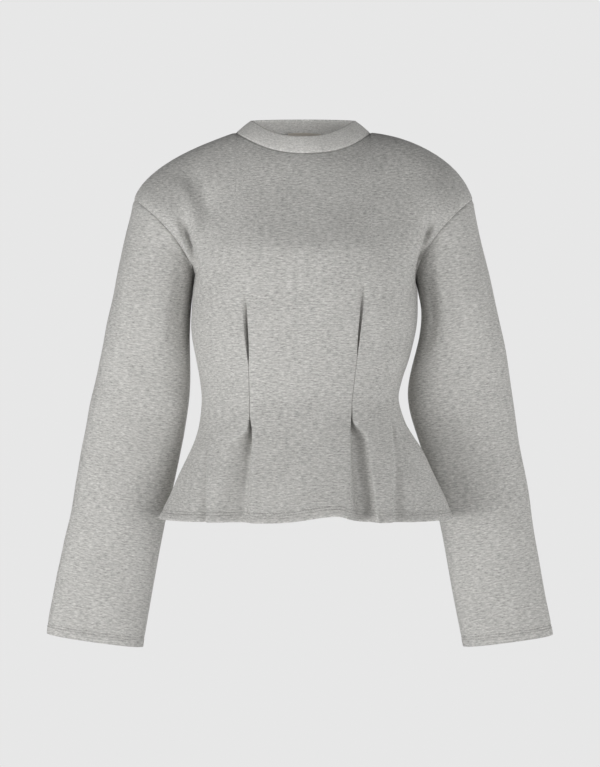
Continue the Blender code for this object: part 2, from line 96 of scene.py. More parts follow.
# Rings round the body: half widths at -X and +X, depths to front and back, and the superellipse's power
BODY_COLUMNS = ("z", "minus_x", "plus_x", "front", "back", "power")
BODY_RINGS = np.array([
    (-523, 196, 204, 138, 124, 2.00),
    (-499, 184, 195, 131, 118, 2.02),
    (-466, 168, 179, 122, 109, 2.06),
    (-434, 153, 163, 113, 100, 2.12),
    (-412, 145, 149, 107, 93, 2.17),
    (-390, 140, 137, 101, 87, 2.22),
    (-360, 137, 130, 98, 83, 2.26),
    (-336, 140, 135, 101, 85, 2.30),
    (-309, 145, 144, 107, 90, 2.36),
    (-281, 149, 151, 114, 95, 2.44),
    (-227, 150, 155, 122, 101, 2.58),
    (-205, 149, 155, 124, 103, 2.62),
]) * ([MM] * 5 + [1])

# The front hem hangs a little higher beside the plus-X inner tuck
HEM_RISE = 9 * MM
HEM_RISE_X = 45 * MM
HEM_RISE_WIDTHS = (50 * MM, 22 * MM)

# Tucks: x of the centre panel's edge at the tuck's top, at both ends of its stitching and at the hem;
# where it starts and is sewn; how deep it is sewn; its depth and mouth at the hem; its lean to the centre
# where it is let out and at the hem; how wide its slits gape above and below the stitching; how steep its
# sides are and how far its floor spreads under its lips
TUCK_COLUMNS = ("x_top", "x_sewn_top", "x_sewn_end", "x_hem", "z_top", "z_sewn_top", "z_sewn_end",
                "depth_sewn", "depth_hem", "mouth_hem", "lean_release", "lean_hem",
                "slit_above", "slit_below", "steep", "overhang")
FRONT_TUCKS = [dict(zip(TUCK_COLUMNS, row)) for row in (
    (-120, -120, -120, -126, -340, -372, -396, 0, 9, 30, 0.2, 0.9, 0, 0, 1.0, 0),
    (-79, -72, -71, -68, -216, -318, -380, 16, 22, 60, 0.7, 0.25, 5.4, 6.2, 0.85, 0),
    (81, 72, 65, 62, -203, -306, -366, 15, 25, 40, 0.3, -0.3, 3.6, 2.2, 0.65, 0.25),
    (118, 118, 117, 116, -350, -372, -386, 0, 11, 30, 0.3, 0.1, 0, 0, 0.9, 0),
)]
BACK_TUCKS = [dict(zip(TUCK_COLUMNS, row)) for row in (
    (-79, -71, -69, -64, -216, -310, -372, 13, 18, 48, 0.5, 0.2, 2.8, 3.8, 0.9, 0),
    (79, 72, 68, 65, -212, -308, -376, 13, 19, 42, 0.4, 0.1, 2.6, 3.0, 0.7, 0.1),
)]
TUCK_GAP = 0.3 * MM
TUCK_CORNER = 1.0 * MM
TUCK_TOP_MOUTH = 11 * MM
TUCK_TAPER = 1.1
# Shares of the way up from the stitching, and down from it to the hem, where a slit is widest and
# deepest, where that depth is lost again, and where the tuck begins and ends to open
SLIT_WIDEST = 0.16
POCKET = (0.08, 0.16, 0.46)
OPENS_ABOVE = (0.4, 1.0)
OPENS_BELOW = (0.14, 0.3)
# A shut tuck's controls from its lip to its floor: shares of the corner sideways and inwards, and of the
# depth
LIP_SIDES = np.array([1.0, 0.45, 0.0, 0.0, 0.0])
LIP_FALL = (0.22, 1.0)
WALL_MIDDLE = 0.55
TUCK_CONTROLS = 2 * len(LIP_SIDES) - 1

# Shoulder seam of each side (-1 for -X): control points of its Bezier from the neck point over the dropped
# shoulder. The +X shoulder is worn a little higher
NECK_X = 92 * MM
SHOULDER_CONTROLS = {-1: np.array([(-92, 0, 0), (-132, 0, -14), (-212, 0, -42), (-230, 0, -92)]) * MM,
                     1: np.array([(92, 0, 0), (132, 0, -3), (212, 0, -28), (231, 0, -92)]) * MM}
NECK_CUT = {-1: {"depth": 77 * MM, "power": 2.1, "crown": 22 * MM, "fullness": 1.66},
            1: {"depth": 59 * MM, "power": 2.2, "crown": 25 * MM, "fullness": 2.4}}

# The bust: how far the front stands out of its rings at each height
BUST = np.array([
    (-290, 0),
    (-250, 1),
    (-205, 4),
    (-178, 8),
    (-164, 9),
    (-150, 6.5),
    (-128, 1),
    (-105, -3.5),
    (-80, -6),
    (-55, -5.5),
    (-30, -4.5),
    (0, 0),
    (30, 0),
]) * MM
BUST_HALF_WIDTH = 118 * MM
BUST_FULL_Y = 75 * MM

# Top edge of the standing band
BAND_TOP = {"half": 70 * MM, "front_y": 68 * MM, "back_y": 48 * MM,
            "front_z": -11 * MM, "side_z": 16.5 * MM, "back_z": 24 * MM, "front_power": 2.5}
BAND_BOW = 1.2 * MM

# How the front and back leave the underarm and arrive at the armhole's top, in Hermite tangents
ARM_BULGE = 250 * MM
ARM_RISE = 150 * MM
ARM_IN = 20 * MM

# Rings down each sleeve: centre x and y, height, half width across, half depth and tilt of the ring,
# which is a superellipse of this power
SLEEVE_POWER = 2.3
SLEEVE_COLUMNS = ("x", "y", "z", "half_width", "half_depth", "tilt")
SLEEVE_RINGS = {
    "sleeve_right": np.array([
        (211.5, 10, -270, 57.5, 50, 4),
        (220, 34, -345, 65, 46, 8),
        (236.5, 50, -431.5, 67, 42, 10),
        (257, 60, -528.5, 66, 38, 10),
        (276.5, 62, -625.5, 67.5, 33, 9),
        (288, 60, -696, 67, 30, 8),
    ]),
    "sleeve_left": np.array([
        (214.5, 10, -270, 55, 50, 4),
        (214.5, 34, -345, 71, 46, 8),
        (232.5, 52, -431.5, 66.5, 42, 10),
        (253.5, 62, -528.5, 63.5, 38, 10),
        (271, 62, -625.5, 63.5, 33, 9),
        (284, 60, -696.5, 62.5, 30, 7.5),
    ]),
}

# The label: its middle, its width, and how far below the neck seam it begins and ends
LABEL_X = 4 * MM
LABEL_WIDTH = 50 * MM
LABEL_TOP = 1.5 * MM
LABEL_BOTTOM = 22 * MM
LABEL_ACROSS = 41
LABEL_DOWN = 17

# Grids of the shells: points with which rings and columns are measured, rows up the body and the yoke,
# down a sleeve and up the band, columns between the tucks, across each tuck and round the band, and the
# length of the pieces into which an edge is divided for distances
RING_POINTS = 721
RING_STEP = 0.01
COLUMN_POINTS = 401
BODY_ROWS = 96
BODY_LAST = BODY_ROWS - 1
YOKE_ROWS = 64
SLEEVE_ROWS = 110
FRONT_PLAIN = (18, 10, 40, 10, 18)
BACK_PLAIN = (44, 44, 44)
TUCK_POINTS = 33
SEAM_CROWDING = 1.7
HEM_CROWDING = 0.2
YOKE_CROWDING = 1.25
SLEEVE_CROWDING = 0.25
BAND_AROUND = 1160
BAND_SHARES = np.concatenate([np.linspace(0, 1, 9)[:-1], 1 - 0.075 * (1 - np.linspace(0.15, 1, 5)) ** 1.3])
BAND_EDGE = 1.6 * MM
RIB_START = 1.5 * MM
LINE_STEP = 0.5 * MM
EDGE_ROUND = {"hem": 0.5 * MM, "cuff": 0.5 * MM, "tape": 0.1 * MM}
LEAST_PULL = 0.08
OFFSET_RANGE = (0.95, 1.5)
MITRE_LIMIT = 1.8
SHARP_ANGLE = np.radians(75)

# How much of the marl's streaks shows in the smooth fleece and in the ribs
FLEECE_STREAKS = 1.0
RIB_STREAKS = 0.45

# Studio: the camera, level with the waist, and each lamp's place, target and width
LENS = 110.4
CAMERA = (-0.004, -3.2, -0.341)
CAMERA_REACH = 40
MIDDLE = (0, 0, -0.36)
LAMPS = {
    "left_light": ((-2.59, -1.49, -0.65), MIDDLE, 1.3),
    "low_light": ((-1.95, -2.2, -0.85), MIDDLE, 1.3),
    "front_light": ((1.49, -2.59, -0.4), MIDDLE, 1.3),
    "floor_light": ((2.44, -1.41, -1.39), MIDDLE, 1.3),
    "right_light": ((2.98, 0.26, -0.1), MIDDLE, 1.3),
    "back_light": ((0.3, 3.2, 0.0), MIDDLE, 2.0),
    "collar_light": ((0, -0.04, -0.004), (0, 0.055, 0.006), 0.03),
}
FLOOR_Z = -1.42
FLOOR_RADIUS = 3.0
FLOOR_TONE = 0.78

# The worn forms, made once and read by every piece
FORMS = {}


# Curves and lengths

def hermite(p0, p1, t0, t1, t):
    """Cubic curve from p0 to p1 with end tangents t0 and t1, at t from 0 to 1."""
    return ((2 * t**3 - 3 * t**2 + 1) * p0 + (t**3 - 2 * t**2 + t) * t0
            + (3 * t**2 - 2 * t**3) * p1 + (t**3 - t**2) * t1)


def smooth(t):
    """0 below 0, 1 above 1 and an even ramp between."""
    t = np.clip(t, 0, 1)
    return t * t * (3 - 2 * t)


def fade(value, start, width):
    """0 where the value is below its start, 1 once it is this width past it and an even ramp between."""
    return smooth((value - start) / width)


def bump_at(distance, width):
    """1 at no distance and less and less away from it, as a bell curve of this width."""
    return np.exp(-((distance / width) ** 2))


def run_along(line):
    """Length along a line of points, from its first one."""
    return np.concatenate([[0], np.cumsum(np.linalg.norm(np.diff(line, axis=0), axis=1))])


def power_of(value, power):
    """The value's size raised to a power, with its own sign."""
    return np.sign(value) * np.abs(value) ** power


def unit(vectors):
    """The vectors scaled to length 1."""
    return vectors / np.maximum(np.linalg.norm(vectors, axis=-1, keepdims=True), 1e-12)


def read_curve(at, keys, values):
    """Smooth curve through a table: cubic pieces whose slopes are those of the neighbouring rows."""
    slopes = np.gradient(values, keys, axis=0)
    i = np.clip(np.searchsorted(keys, at) - 1, 0, len(keys) - 2)
    width = keys[i + 1] - keys[i]
    t = (at - keys[i]) / width
    if values.ndim > 1:
        width, t = width[..., None], t[..., None]
    return hermite(values[i], values[i + 1], slopes[i] * width, slopes[i + 1] * width, t)


def read_line(at, keys, values):
    """Straight-line reading of a table of points."""
    return np.stack([np.interp(at, keys, values[:, k]) for k in range(values.shape[1])], axis=1)


def arc_lengths(grid, axis):
    """Length along the grid's rows (axis 1) or columns (axis 0) from their first point."""
    steps = np.linalg.norm(np.diff(grid, axis=axis), axis=2)
    start = np.zeros_like(np.take(steps, [0], axis=axis))
    return np.concatenate([start, np.cumsum(steps, axis=axis)], axis=axis)


# Body of the top

def ring_sizes(z):
    """The body ring's sizes at these heights, by column name."""
    return dict(zip(BODY_COLUMNS[1:], read_curve(z, BODY_RINGS[:, 0], BODY_RINGS[:, 1:]).T))


def body_ring(angle, z, facing):
    """Point of the body's ring at an angle from centre (-90 to 90 degrees) and height; facing -1 front, 1
    back. A superellipse whose half widths differ at the two sides."""
    sizes = ring_sizes(z)
    across = power_of(np.sin(angle), 2 / sizes["power"])
    deep = np.abs(np.cos(angle)) ** (2 / sizes["power"])
    half = np.where(angle < 0, sizes["minus_x"], sizes["plus_x"])
    depth = sizes["front"] if facing < 0 else sizes["back"]
    return np.stack([across * half, facing * depth * deep, z + 0 * angle], axis=-1)


def angle_at(x, z):
    """The angle at which the body's ring has this x."""
    sizes = ring_sizes(np.array([z]))
    share = np.clip(x / sizes["minus_x" if x < 0 else "plus_x"][0], -1, 1)
    return np.sign(share) * np.arcsin(np.abs(share) ** (sizes["power"][0] / 2))


def tuck_at(tuck, z):
    """A tuck's size at one height: x of its mouth, mouth width, depth, lean, how far it is shut, 0 to 1,
    and the gap of its slit, which bows open above the stitching and gapes just below it."""
    top, sewn_top, sewn_end = (tuck[k] * MM for k in ("z_top", "z_sewn_top", "z_sewn_end"))
    sewn, hem_depth, mouth = (tuck[k] * MM for k in ("depth_sewn", "depth_hem", "mouth_hem"))
    heights = np.array([HEM_Z, sewn_end, sewn_top, top])
    x = np.interp(z, heights, [tuck[k] * MM for k in ("x_hem", "x_sewn_end", "x_sewn_top", "x_top")])
    above = np.clip((z - sewn_top) / (top - sewn_top), 0, 1)
    below = np.clip((sewn_end - z) / (sewn_end - HEM_Z), 0, 1)
    gap = TUCK_GAP + MM * (tuck["slit_above"] * 4 * above * (1 - above)
                           + tuck["slit_below"] * smooth(below / SLIT_WIDEST))
    shut_mouth = gap + 2 * TUCK_CORNER
    opening = (mouth - shut_mouth) * below**0.5
    wide = shut_mouth + (TUCK_TOP_MOUTH - shut_mouth) * above + opening
    full, kept, lost = POCKET
    pocket = smooth(below / full) * (1 - fade(below, kept, lost - kept))
    depth = sewn * (1 - above) ** TUCK_TAPER + (hem_depth - sewn) * below + tuck["slit_below"] * MM * pocket
    lean = tuck["lean_release"] + (tuck["lean_hem"] - tuck["lean_release"]) * below
    shut = 0.0
    if sewn > 0:
        shut = np.prod([1 - fade(way, start, stop - start)
                        for way, (start, stop) in ((above, OPENS_ABOVE), (below, OPENS_BELOW))])
    x += np.sign(x) * (1 - shut) * opening / 2
    return x, wide, depth, lean, shut, gap


def tuck_profile(wide, depth, lean, shut, gap, steep, overhang):
    """Across a tuck: offsets along the ring and inwards, a smooth curve through its controls. A shut tuck
    is a narrow U with rounded lips, an open one a cosine wave raised to a power, which steepens its
    sides; overhang widens its floor, shut blends the two, and lean slides the deep part sideways."""
    q = np.linspace(-1, 1, TUCK_CONTROLS)
    lip = LIP_SIDES * TUCK_CORNER + gap / 2
    fall = [0.0, *(share * TUCK_CORNER for share in LIP_FALL), WALL_MIDDLE * depth, depth]
    inward = np.maximum.accumulate(fall)
    side = np.concatenate([-lip[:-1], [0.0], lip[-2::-1]])
    into = np.concatenate([inward[:-1], [inward[-1] + gap], inward[-2::-1]])
    wave = ((1 + np.cos(np.pi * q)) / 2) ** steep
    across = shut * side + (1 - shut) * q * wide / 2 * (1 + overhang * wave)
    inwards = shut * into + (1 - shut) * depth * wave
    controls = np.stack([across + lean * inwards * (1 - shut), inwards], axis=1)
    fine = read_curve(np.linspace(0, TUCK_CONTROLS - 1, TUCK_POINTS), np.arange(TUCK_CONTROLS), controls)
    return fine[:, 0], np.maximum(fine[:, 1], 0)


def run_between(start, stop, count, dense_start, dense_stop):
    """Stations from start to stop, closer together at an end that lies on a seam."""
    t = np.linspace(0, 1, count + 1)
    if dense_start:
        t = t**SEAM_CROWDING
    if dense_stop:
        t = 1 - (1 - t) ** SEAM_CROWDING
    return start + (stop - start) * t


def ring_row(z, tucks, plain, facing):
    """One row of a panel round the body, seam to seam, with its tucks; plain counts the columns between
    them. Returns the points and each column's angle on the plain ring."""
    dense = np.linspace(-HALF_PI, HALF_PI, RING_POINTS)
    line = body_ring(dense, np.full_like(dense, z), facing)
    arc = run_along(line)
    stations, inwards = [], []
    start = 0.0
    for number, (tuck, count) in enumerate(zip([*tucks, None], plain)):
        if tuck is None:
            stations.append(run_between(start, arc[-1], count, False, True))
            inwards.append(np.zeros(count + 1))
        else:
            x, wide, depth, lean, shut, gap = tuck_at(tuck, z)
            middle = np.interp(angle_at(x, z), dense, arc)
            across, into = tuck_profile(wide, depth, -np.sign(x) * lean, shut, gap, tuck["steep"],
                                        tuck["overhang"])
            stations.append(run_between(start, middle + across[0], count, number == 0, False)[:-1])
            stations.append(middle + across[:-1])
            inwards.append(np.zeros(count))
            inwards.append(into[:-1])
            start = middle + across[-1]
    station, into = np.concatenate(stations), np.concatenate(inwards)
    angle = np.interp(station, arc, dense)
    point = body_ring(angle, np.full_like(angle, z), facing)
    ahead = body_ring(np.clip(angle + RING_STEP, -HALF_PI, HALF_PI), np.full_like(angle, z), facing)
    behind = body_ring(np.clip(angle - RING_STEP, -HALF_PI, HALF_PI), np.full_like(angle, z), facing)
    along = unit(ahead - behind)
    inward = np.stack([along[:, 1], -along[:, 0], 0 * angle], axis=1) * facing
    point = point + inward * into[:, None]
    beside = point[:, 0] - HEM_RISE_X
    beside /= np.where(beside < 0, *HEM_RISE_WIDTHS)
    rise = HEM_RISE * np.exp(-(beside**2)) if facing < 0 else 0
    point[:, 2] += rise * np.clip((WAIST_Z - z) / (WAIST_Z - HEM_Z), 0, 1)
    return point, angle


def shoulder_line(share, side):
    """Bezier along a side's shoulder seam, share 0 at the neck point and 1 at the armhole."""
    t = share[:, None]
    c = SHOULDER_CONTROLS[side]
    return (1 - t) ** 3 * c[0] + 3 * t * (1 - t) ** 2 * c[1] + 3 * t**2 * (1 - t) * c[2] + t**3 * c[3]


def neck_columns(base):
    """Column numbers of the two neck points: those whose x at the underarm is nearest to the neck's."""
    return [int(np.argmin(np.abs(base[:, 0] + NECK_X))), int(np.argmin(np.abs(base[:, 0] - NECK_X)))]


def ridge_line(base, angle, facing):
    """Where the columns reach the plane y = 0: along the shoulder seams, and over the crown between them.
    Also gives how far along the shoulder each column is, 0 inside the neck and 1 at the armhole."""
    low, high = neck_columns(base)
    share = np.where(angle < 0, (angle - angle[low]) / (-HALF_PI - angle[low]),
                     (angle - angle[high]) / (HALF_PI - angle[high]))
    share = np.clip(share, 0, 1)
    seam = np.where(angle[:, None] < 0, shoulder_line(share, -1), shoulder_line(share, 1))
    scale = np.where(angle < 0, -NECK_X / base[low, 0], NECK_X / base[high, 0])
    x = base[:, 0] * scale
    firsts = [SHOULDER_CONTROLS[side][1] - SHOULDER_CONTROLS[side][0] for side in (-1, 1)]
    slopes = [np.abs(first[2] / first[0]) for first in firsts]
    crown = NECK_CUT[facing]["crown"]
    bend = np.where(angle < 0, *slopes) * NECK_X / (2 * crown) - 1
    square = (x / NECK_X) ** 2
    over = np.stack([x, 0 * x, crown * (1 - square) * (1 + bend * square)], axis=1)
    inside = (np.arange(len(angle)) > low) & (np.arange(len(angle)) < high)
    return np.where(inside[:, None], over, seam), share, inside


def bust_out(point):
    """Moves points of the front out by the bust's table, less and less towards the arms and the shoulder
    seams."""
    z = np.clip(point[..., 2], BUST[0, 0], BUST[-1, 0])
    out = read_curve(z.ravel(), BUST[:, 0], BUST[:, 1]).reshape(z.shape)
    moved = point.copy()
    middle = np.exp(-((np.abs(point[..., 0]) / BUST_HALF_WIDTH) ** 4))
    moved[..., 1] -= out * middle * smooth(-point[..., 1] / BUST_FULL_Y)
    return moved


def yoke_rows(base, angle, facing, shares):
    """Columns from the underarm ring over the shoulder, as Hermite curves. Those inside the neck stop at
    the neck's ellipse. The outer ones swing forward round the arm, so that the last is half of the
    armhole."""
    top, along, inside = ridge_line(base, angle, facing)
    side = np.sign(angle)
    height = (top - base)[:, 2]
    cut = NECK_CUT[facing]
    full = cut["fullness"]
    near_arm = smooth((along - 0.2) / 0.8)[:, None]
    up = np.stack([0 * angle, 0 * angle, full * height], axis=1)
    round_arm = np.stack([-side * ARM_IN, 0 * angle + facing * ARM_BULGE, 0 * angle + ARM_RISE], axis=1)
    leave = (1 - near_arm) * up + near_arm * round_arm
    reach = full * np.abs(base[:, 1]) * (1 - near_arm[:, 0]) + ARM_BULGE * near_arm[:, 0]
    arrive = np.stack([0 * angle, -facing * reach, 0 * angle], axis=1)
    stop = np.ones(len(angle))
    dense = np.linspace(0, 1, COLUMN_POINTS)
    for i in np.flatnonzero(inside):
        level = (1 - np.abs(top[i, 0] / NECK_X) ** cut["power"]) ** (1 / cut["power"]) * cut["depth"]
        column = hermite(base[i], top[i], leave[i], arrive[i], dense[:, None])
        depth = np.abs((bust_out(column) if facing < 0 else column)[:, 1])
        stop[i] = np.interp(-level, -depth, dense)
    return [hermite(base, top, leave, arrive, t * stop[:, None]) for t in shares]


def panel_rows():
    """Heights of the rows up the body, closer together at the hem, and the shares of the rows of the yoke,
    closer together at its far end."""
    t = np.linspace(0, 1, BODY_ROWS)
    heights = HEM_Z + (UNDERARM_Z - HEM_Z) * ((1 - HEM_CROWDING) * t + HEM_CROWDING * t**2)
    shares = 1 - (1 - np.linspace(0, 1, YOKE_ROWS + 1)[1:]) ** YOKE_CROWDING
    return heights, shares


def panel_form(tucks, plain, facing):
    """Outer points of the front or back: rows up the body, then columns over the shoulder."""
    heights, shares = panel_rows()
    rows = [ring_row(z, tucks, plain, facing) for z in heights]
    base, angle = rows[-1]
    points = np.array([row for row, _ in rows] + yoke_rows(base, angle, facing, shares))
    return bust_out(points) if facing < 0 else points


def sleeve_form(name, armhole, turn):
    """Outer points of a sleeve from its armhole loop down the table's rings. Turn is the angle of each
    column, from the underarm round by the front."""
    side = 1 if name.endswith("left") else -1
    loops = [armhole]
    for row in SLEEVE_RINGS[name]:
        ring = dict(zip(SLEEVE_COLUMNS, row))
        tilt = np.radians(ring["tilt"])
        across = -power_of(np.cos(turn), 2 / SLEEVE_POWER) * ring["half_width"]
        deep = -power_of(np.sin(turn), 2 / SLEEVE_POWER) * ring["half_depth"]
        loops.append(np.stack([side * (ring["x"] + across * np.cos(tilt)), ring["y"] + deep,
                               ring["z"] + across * np.sin(tilt)], axis=1) * MM)
    loops = np.array(loops)
    keys = run_along(loops.mean(axis=1))
    t = np.linspace(0, 1, SLEEVE_ROWS)
    at = keys[-1] * ((1 - SLEEVE_CROWDING) * t + SLEEVE_CROWDING * t**2)
    flat = read_curve(at, keys, loops.reshape(len(loops), -1))
    return flat.reshape(len(at), len(armhole), 3)


def band_form(seam, shares):
    """Outer points of the standing neckband from its seam loop to its top edge, bowed out a little
    between."""
    turn = np.arcsin(np.clip(seam[:, 0] / NECK_X, -1, 1))
    front = seam[:, 1] < 0
    depth = np.where(front, -BAND_TOP["front_y"], BAND_TOP["back_y"])
    dip = np.where(front, BAND_TOP["front_z"], BAND_TOP["back_z"])
    rise = np.where(front, 1 - np.abs(np.sin(turn)) ** BAND_TOP["front_power"], np.cos(turn))
    top = np.stack([BAND_TOP["half"] * np.sin(turn), depth * np.cos(turn),
                    BAND_TOP["side_z"] + (dip - BAND_TOP["side_z"]) * rise], axis=1)
    out = unit(top * [1, 1, 0])
    return np.array([seam + (top - seam) * t + out * BAND_BOW * 4 * t * (1 - t) for t in shares])


# Walls

def face_normals(grid, closed):
    """Normals of the grid's quads, rows by columns."""
    right = np.roll(grid, -1, axis=1) if closed else grid[:, 1:]
    left = grid if closed else grid[:, :-1]
    return unit(np.cross(right[1:] - left[:-1], left[1:] - right[:-1]))


def outward_sign(rings):
    """1 where a tube's face normals already point away from its axis, else -1."""
    away = rings[:-1] - rings[:-1].mean(axis=1, keepdims=True)
    return np.sign(np.sum(face_normals(rings, True) * away))


def around(values, closed):
    """For each point of a grid, the sum of the values of the quads that meet there."""
    rows, columns = values.shape[0] + 1, values.shape[1] + (0 if closed else 1)
    total = np.zeros((rows, columns, *values.shape[2:]))
    for down in (0, 1):
        for step in (0, 1):
            part = total[down:rows - 1 + down]
            if closed:
                part += np.roll(values, step, axis=1)
            else:
                part[:, step:columns - 1 + step] += values
    return total


def point_normals(grid, closed, sign):
    """Outward normals at the grid's points: the mean of the quads that meet there."""
    return unit(around(face_normals(grid, closed) * sign, closed))


def inner_offsets(grid, closed, facing_out):
    """For each point, the vector that moves every plane that meets there inwards by one unit: the least
    squares answer, with a pull to the shortest one."""
    normal = face_normals(grid, closed) * facing_out
    matrix = around(normal[..., :, None] * normal[..., None, :], closed)
    move = -np.linalg.solve(matrix + LEAST_PULL * np.eye(3), around(normal, closed)[..., None])[..., 0]
    length = np.linalg.norm(move, axis=2, keepdims=True)
    return move / length * np.clip(length, *OFFSET_RANGE)


def seam_loop(front_edge, back_edge):
    """Joins a front edge and a back edge that share both ends into one loop, front first."""
    ends = (front_edge[[0, -1]] + back_edge[[0, -1]]) / 2
    return np.concatenate([ends[:1], front_edge[1:-1], ends[1:], back_edge[-2:0:-1]])


def split_loop(values, count):
    """A loop's values as a front edge and a back edge, both with the shared ends; count is the front's
    length."""
    return values[:count], np.concatenate([values[:1], values[:count - 2:-1]])


def seam_frame(loop, inward_a, inward_b, towards):
    """For a seam between two walls, the direction of its rim, which halves the angle between them, and the
    direction across the seam, from the first wall to the second; towards says roughly which way that is."""
    along = unit(np.roll(loop, -1, axis=0) - np.roll(loop, 1, axis=0))
    rim = unit(inward_a) + unit(inward_b)
    rim = unit(rim - along * np.sum(rim * along, axis=1, keepdims=True))
    across = np.cross(along, rim)
    across *= np.sign(np.sum(across * towards, axis=1, keepdims=True))
    stretch = 1 / np.clip(np.sum(rim * unit(inward_a), axis=1, keepdims=True), 1 / MITRE_LIMIT, 1)
    return rim * stretch, across


# Creases, seams and hems

# Folds: a curve through three points, then the fold's width and its height, which is negative in a trough
FOLD_COLUMNS = ("x0", "z0", "x_mid", "z_mid", "x1", "z1", "width", "height")
FRONT_FOLDS = (
    (-182, -62, -134, -88, -137, -200, 6, 4.6),
    (-166, -48, -131, -82, -115, -140, 13, -3.8),
    (-143, -216, -145, -160, -164, -112, 4.5, -8.5),
    (192, -66, 160, -96, 149, -200, 6, 4.4),
    (172, -48, 139, -84, 121, -140, 13, -3.6),
    (154, -216, 157, -162, 176, -116, 4.5, -8.0),
    (-86, -222, -84, -280, -80, -340, 8, -2.0),
    (88, -210, 85, -270, 82, -330, 8, -1.8),
    (118, -380, 119, -396, 123, -428, 2.2, -2.4),
    (126, -384, 132, -420, 142, -470, 9, -1.6),
    (-120, -330, -104, -350, -84, -356, 9, 0.9),
    (-132, -352, -112, -372, -86, -376, 8, -0.8),
    (124, -330, 106, -346, 84, -350, 9, 0.8),
    (128, -350, 108, -366, 82, -368, 8, -0.9),
    (-60, -352, -10, -362, 44, -354, 15, -0.7),
    (-40, -196, -64, -214, -74, -252, 16, -1.1),
    (44, -184, 66, -202, 76, -240, 16, -1.1),
    (-108, -222, -104, -262, -96, -300, 13, 1.1),
    (108, -220, 102, -260, 92, -296, 13, 1.2),
)
# Pits beside the underarm seams, where the chest's cloth folds over: the same columns, pressed straight in
PITS = (
    (-146, -222, -146, -162, -168, -112, 4.5, 9),
    (155, -222, 157, -164, 178, -116, 4.5, 9),
)
BACK_FOLDS = (
    (-186, -60, -156, -96, -142, -166, 10, 3.2),
    (-168, -56, -138, -92, -126, -150, 14, -2.4),
    (186, -62, 158, -98, 144, -168, 10, 3.0),
    (170, -58, 140, -94, 128, -152, 14, -2.4),
    (-128, -332, -104, -350, -82, -352, 9, 1.0),
    (-130, -356, -108, -372, -84, -372, 8, -0.9),
    (126, -336, 106, -352, 84, -356, 9, 1.0),
    (-52, -346, 0, -356, 50, -348, 15, -1.2),
    (-46, -372, 4, -380, 52, -370, 12, 0.7),
    (-30, -60, 0, -70, 34, -58, 16, -0.7),
)
# Down a sleeve: turn in degrees from the underarm round by the front, and distance down from the armhole
SLEEVE_FOLDS = {
    "sleeve_right": (
        (60, 22, 74, 80, 70, 170, 12, 2.0),
        (38, 20, 46, 74, 44, 150, 11, -2.2),
        (24, 150, 70, 196, 118, 214, 13, -1.3),
        (20, 186, 66, 226, 112, 246, 13, 1.2),
        (118, 60, 128, 180, 120, 330, 22, 1.4),
        (60, 260, 66, 380, 60, 520, 20, -1.4),
        (88, 300, 96, 420, 92, 560, 18, 1.0),
        (240, 60, 226, 190, 232, 330, 20, -1.8),
        (200, 250, 214, 380, 206, 520, 22, 1.4),
        (330, 130, 286, 182, 240, 206, 14, -1.6),
        (334, 170, 290, 222, 244, 248, 14, 1.4),
    ),
    "sleeve_left": (
        (58, 20, 70, 76, 66, 160, 11, 2.2),
        (36, 18, 44, 70, 42, 150, 11, -2.4),
        (22, 140, 64, 190, 112, 206, 13, -1.2),
        (18, 178, 62, 222, 108, 240, 13, 1.2),
        (124, 50, 132, 170, 126, 320, 22, 1.2),
        (66, 250, 72, 370, 68, 530, 20, -1.5),
        (94, 290, 100, 410, 98, 560, 18, 1.1),
        (238, 66, 224, 196, 230, 340, 20, -1.8),
        (204, 240, 216, 370, 210, 520, 22, 1.4),
        (328, 136, 284, 190, 238, 212, 14, -1.6),
        (332, 176, 288, 230, 242, 254, 14, 1.4),
    ),
}
FOLD_POINTS = 28
FOLD_ENDS = 0.3
# How far from a side seam, from the top edge and from the hem the slack and the folds reach their full
# height, the same from the armhole and the cuff of a sleeve, and the turn from its seam
SLACK_FADES = (12 * MM, 20 * MM, 12 * MM)
FOLD_FADES = (5 * MM, 10 * MM, 12 * MM)
SLEEVE_FADES = (18 * MM, 14 * MM)
SLEEVE_WRAP = 0.35
YOKE_BLEND = 25 * MM
# The slack's waves and their slope, and each piece's own seed
SLACK_LENGTHS = (0.21, 0.15, 0.1, 0.075, 0.05)
SLACK_SLOPE = 0.0035
SLACK_SEEDS = {"front": 6, "back": 8, "sleeve_right": 20, "sleeve_left": 22}
PANELS = {
    "front": (FRONT_TUCKS, FRONT_PLAIN, -1, FRONT_FOLDS),
    "back": (BACK_TUCKS, BACK_PLAIN, 1, BACK_FOLDS),
}


def distance_to(points, line):
    """Distance of each point of a grid from a line of points, which is first divided finely."""
    run = run_along(line)
    fine = read_line(np.linspace(0, run[-1], int(run[-1] / LINE_STEP)), run, line)
    return np.array([np.sqrt(((row[:, None] - fine) ** 2).sum(axis=2).min(axis=1)) for row in points])


def level_normals(grid, facing):
    """Level directions straight out of the body's plain rings at the grid's points, without the tucks."""
    x, z = grid[..., 0].ravel(), grid[..., 2].ravel()
    sizes = ring_sizes(z)
    half = np.where(x < 0, sizes["minus_x"], sizes["plus_x"])
    depth = sizes["front"] if facing < 0 else sizes["back"]
    share = np.clip(np.abs(x) / half, 0, 0.999)
    deep = (1 - share ** sizes["power"]) ** (1 / sizes["power"])
    out = np.stack([np.sign(x) * share ** (sizes["power"] - 1) / half,
                    facing * deep ** (sizes["power"] - 1) / depth, 0 * x], axis=1)
    return unit(out).reshape(grid.shape)


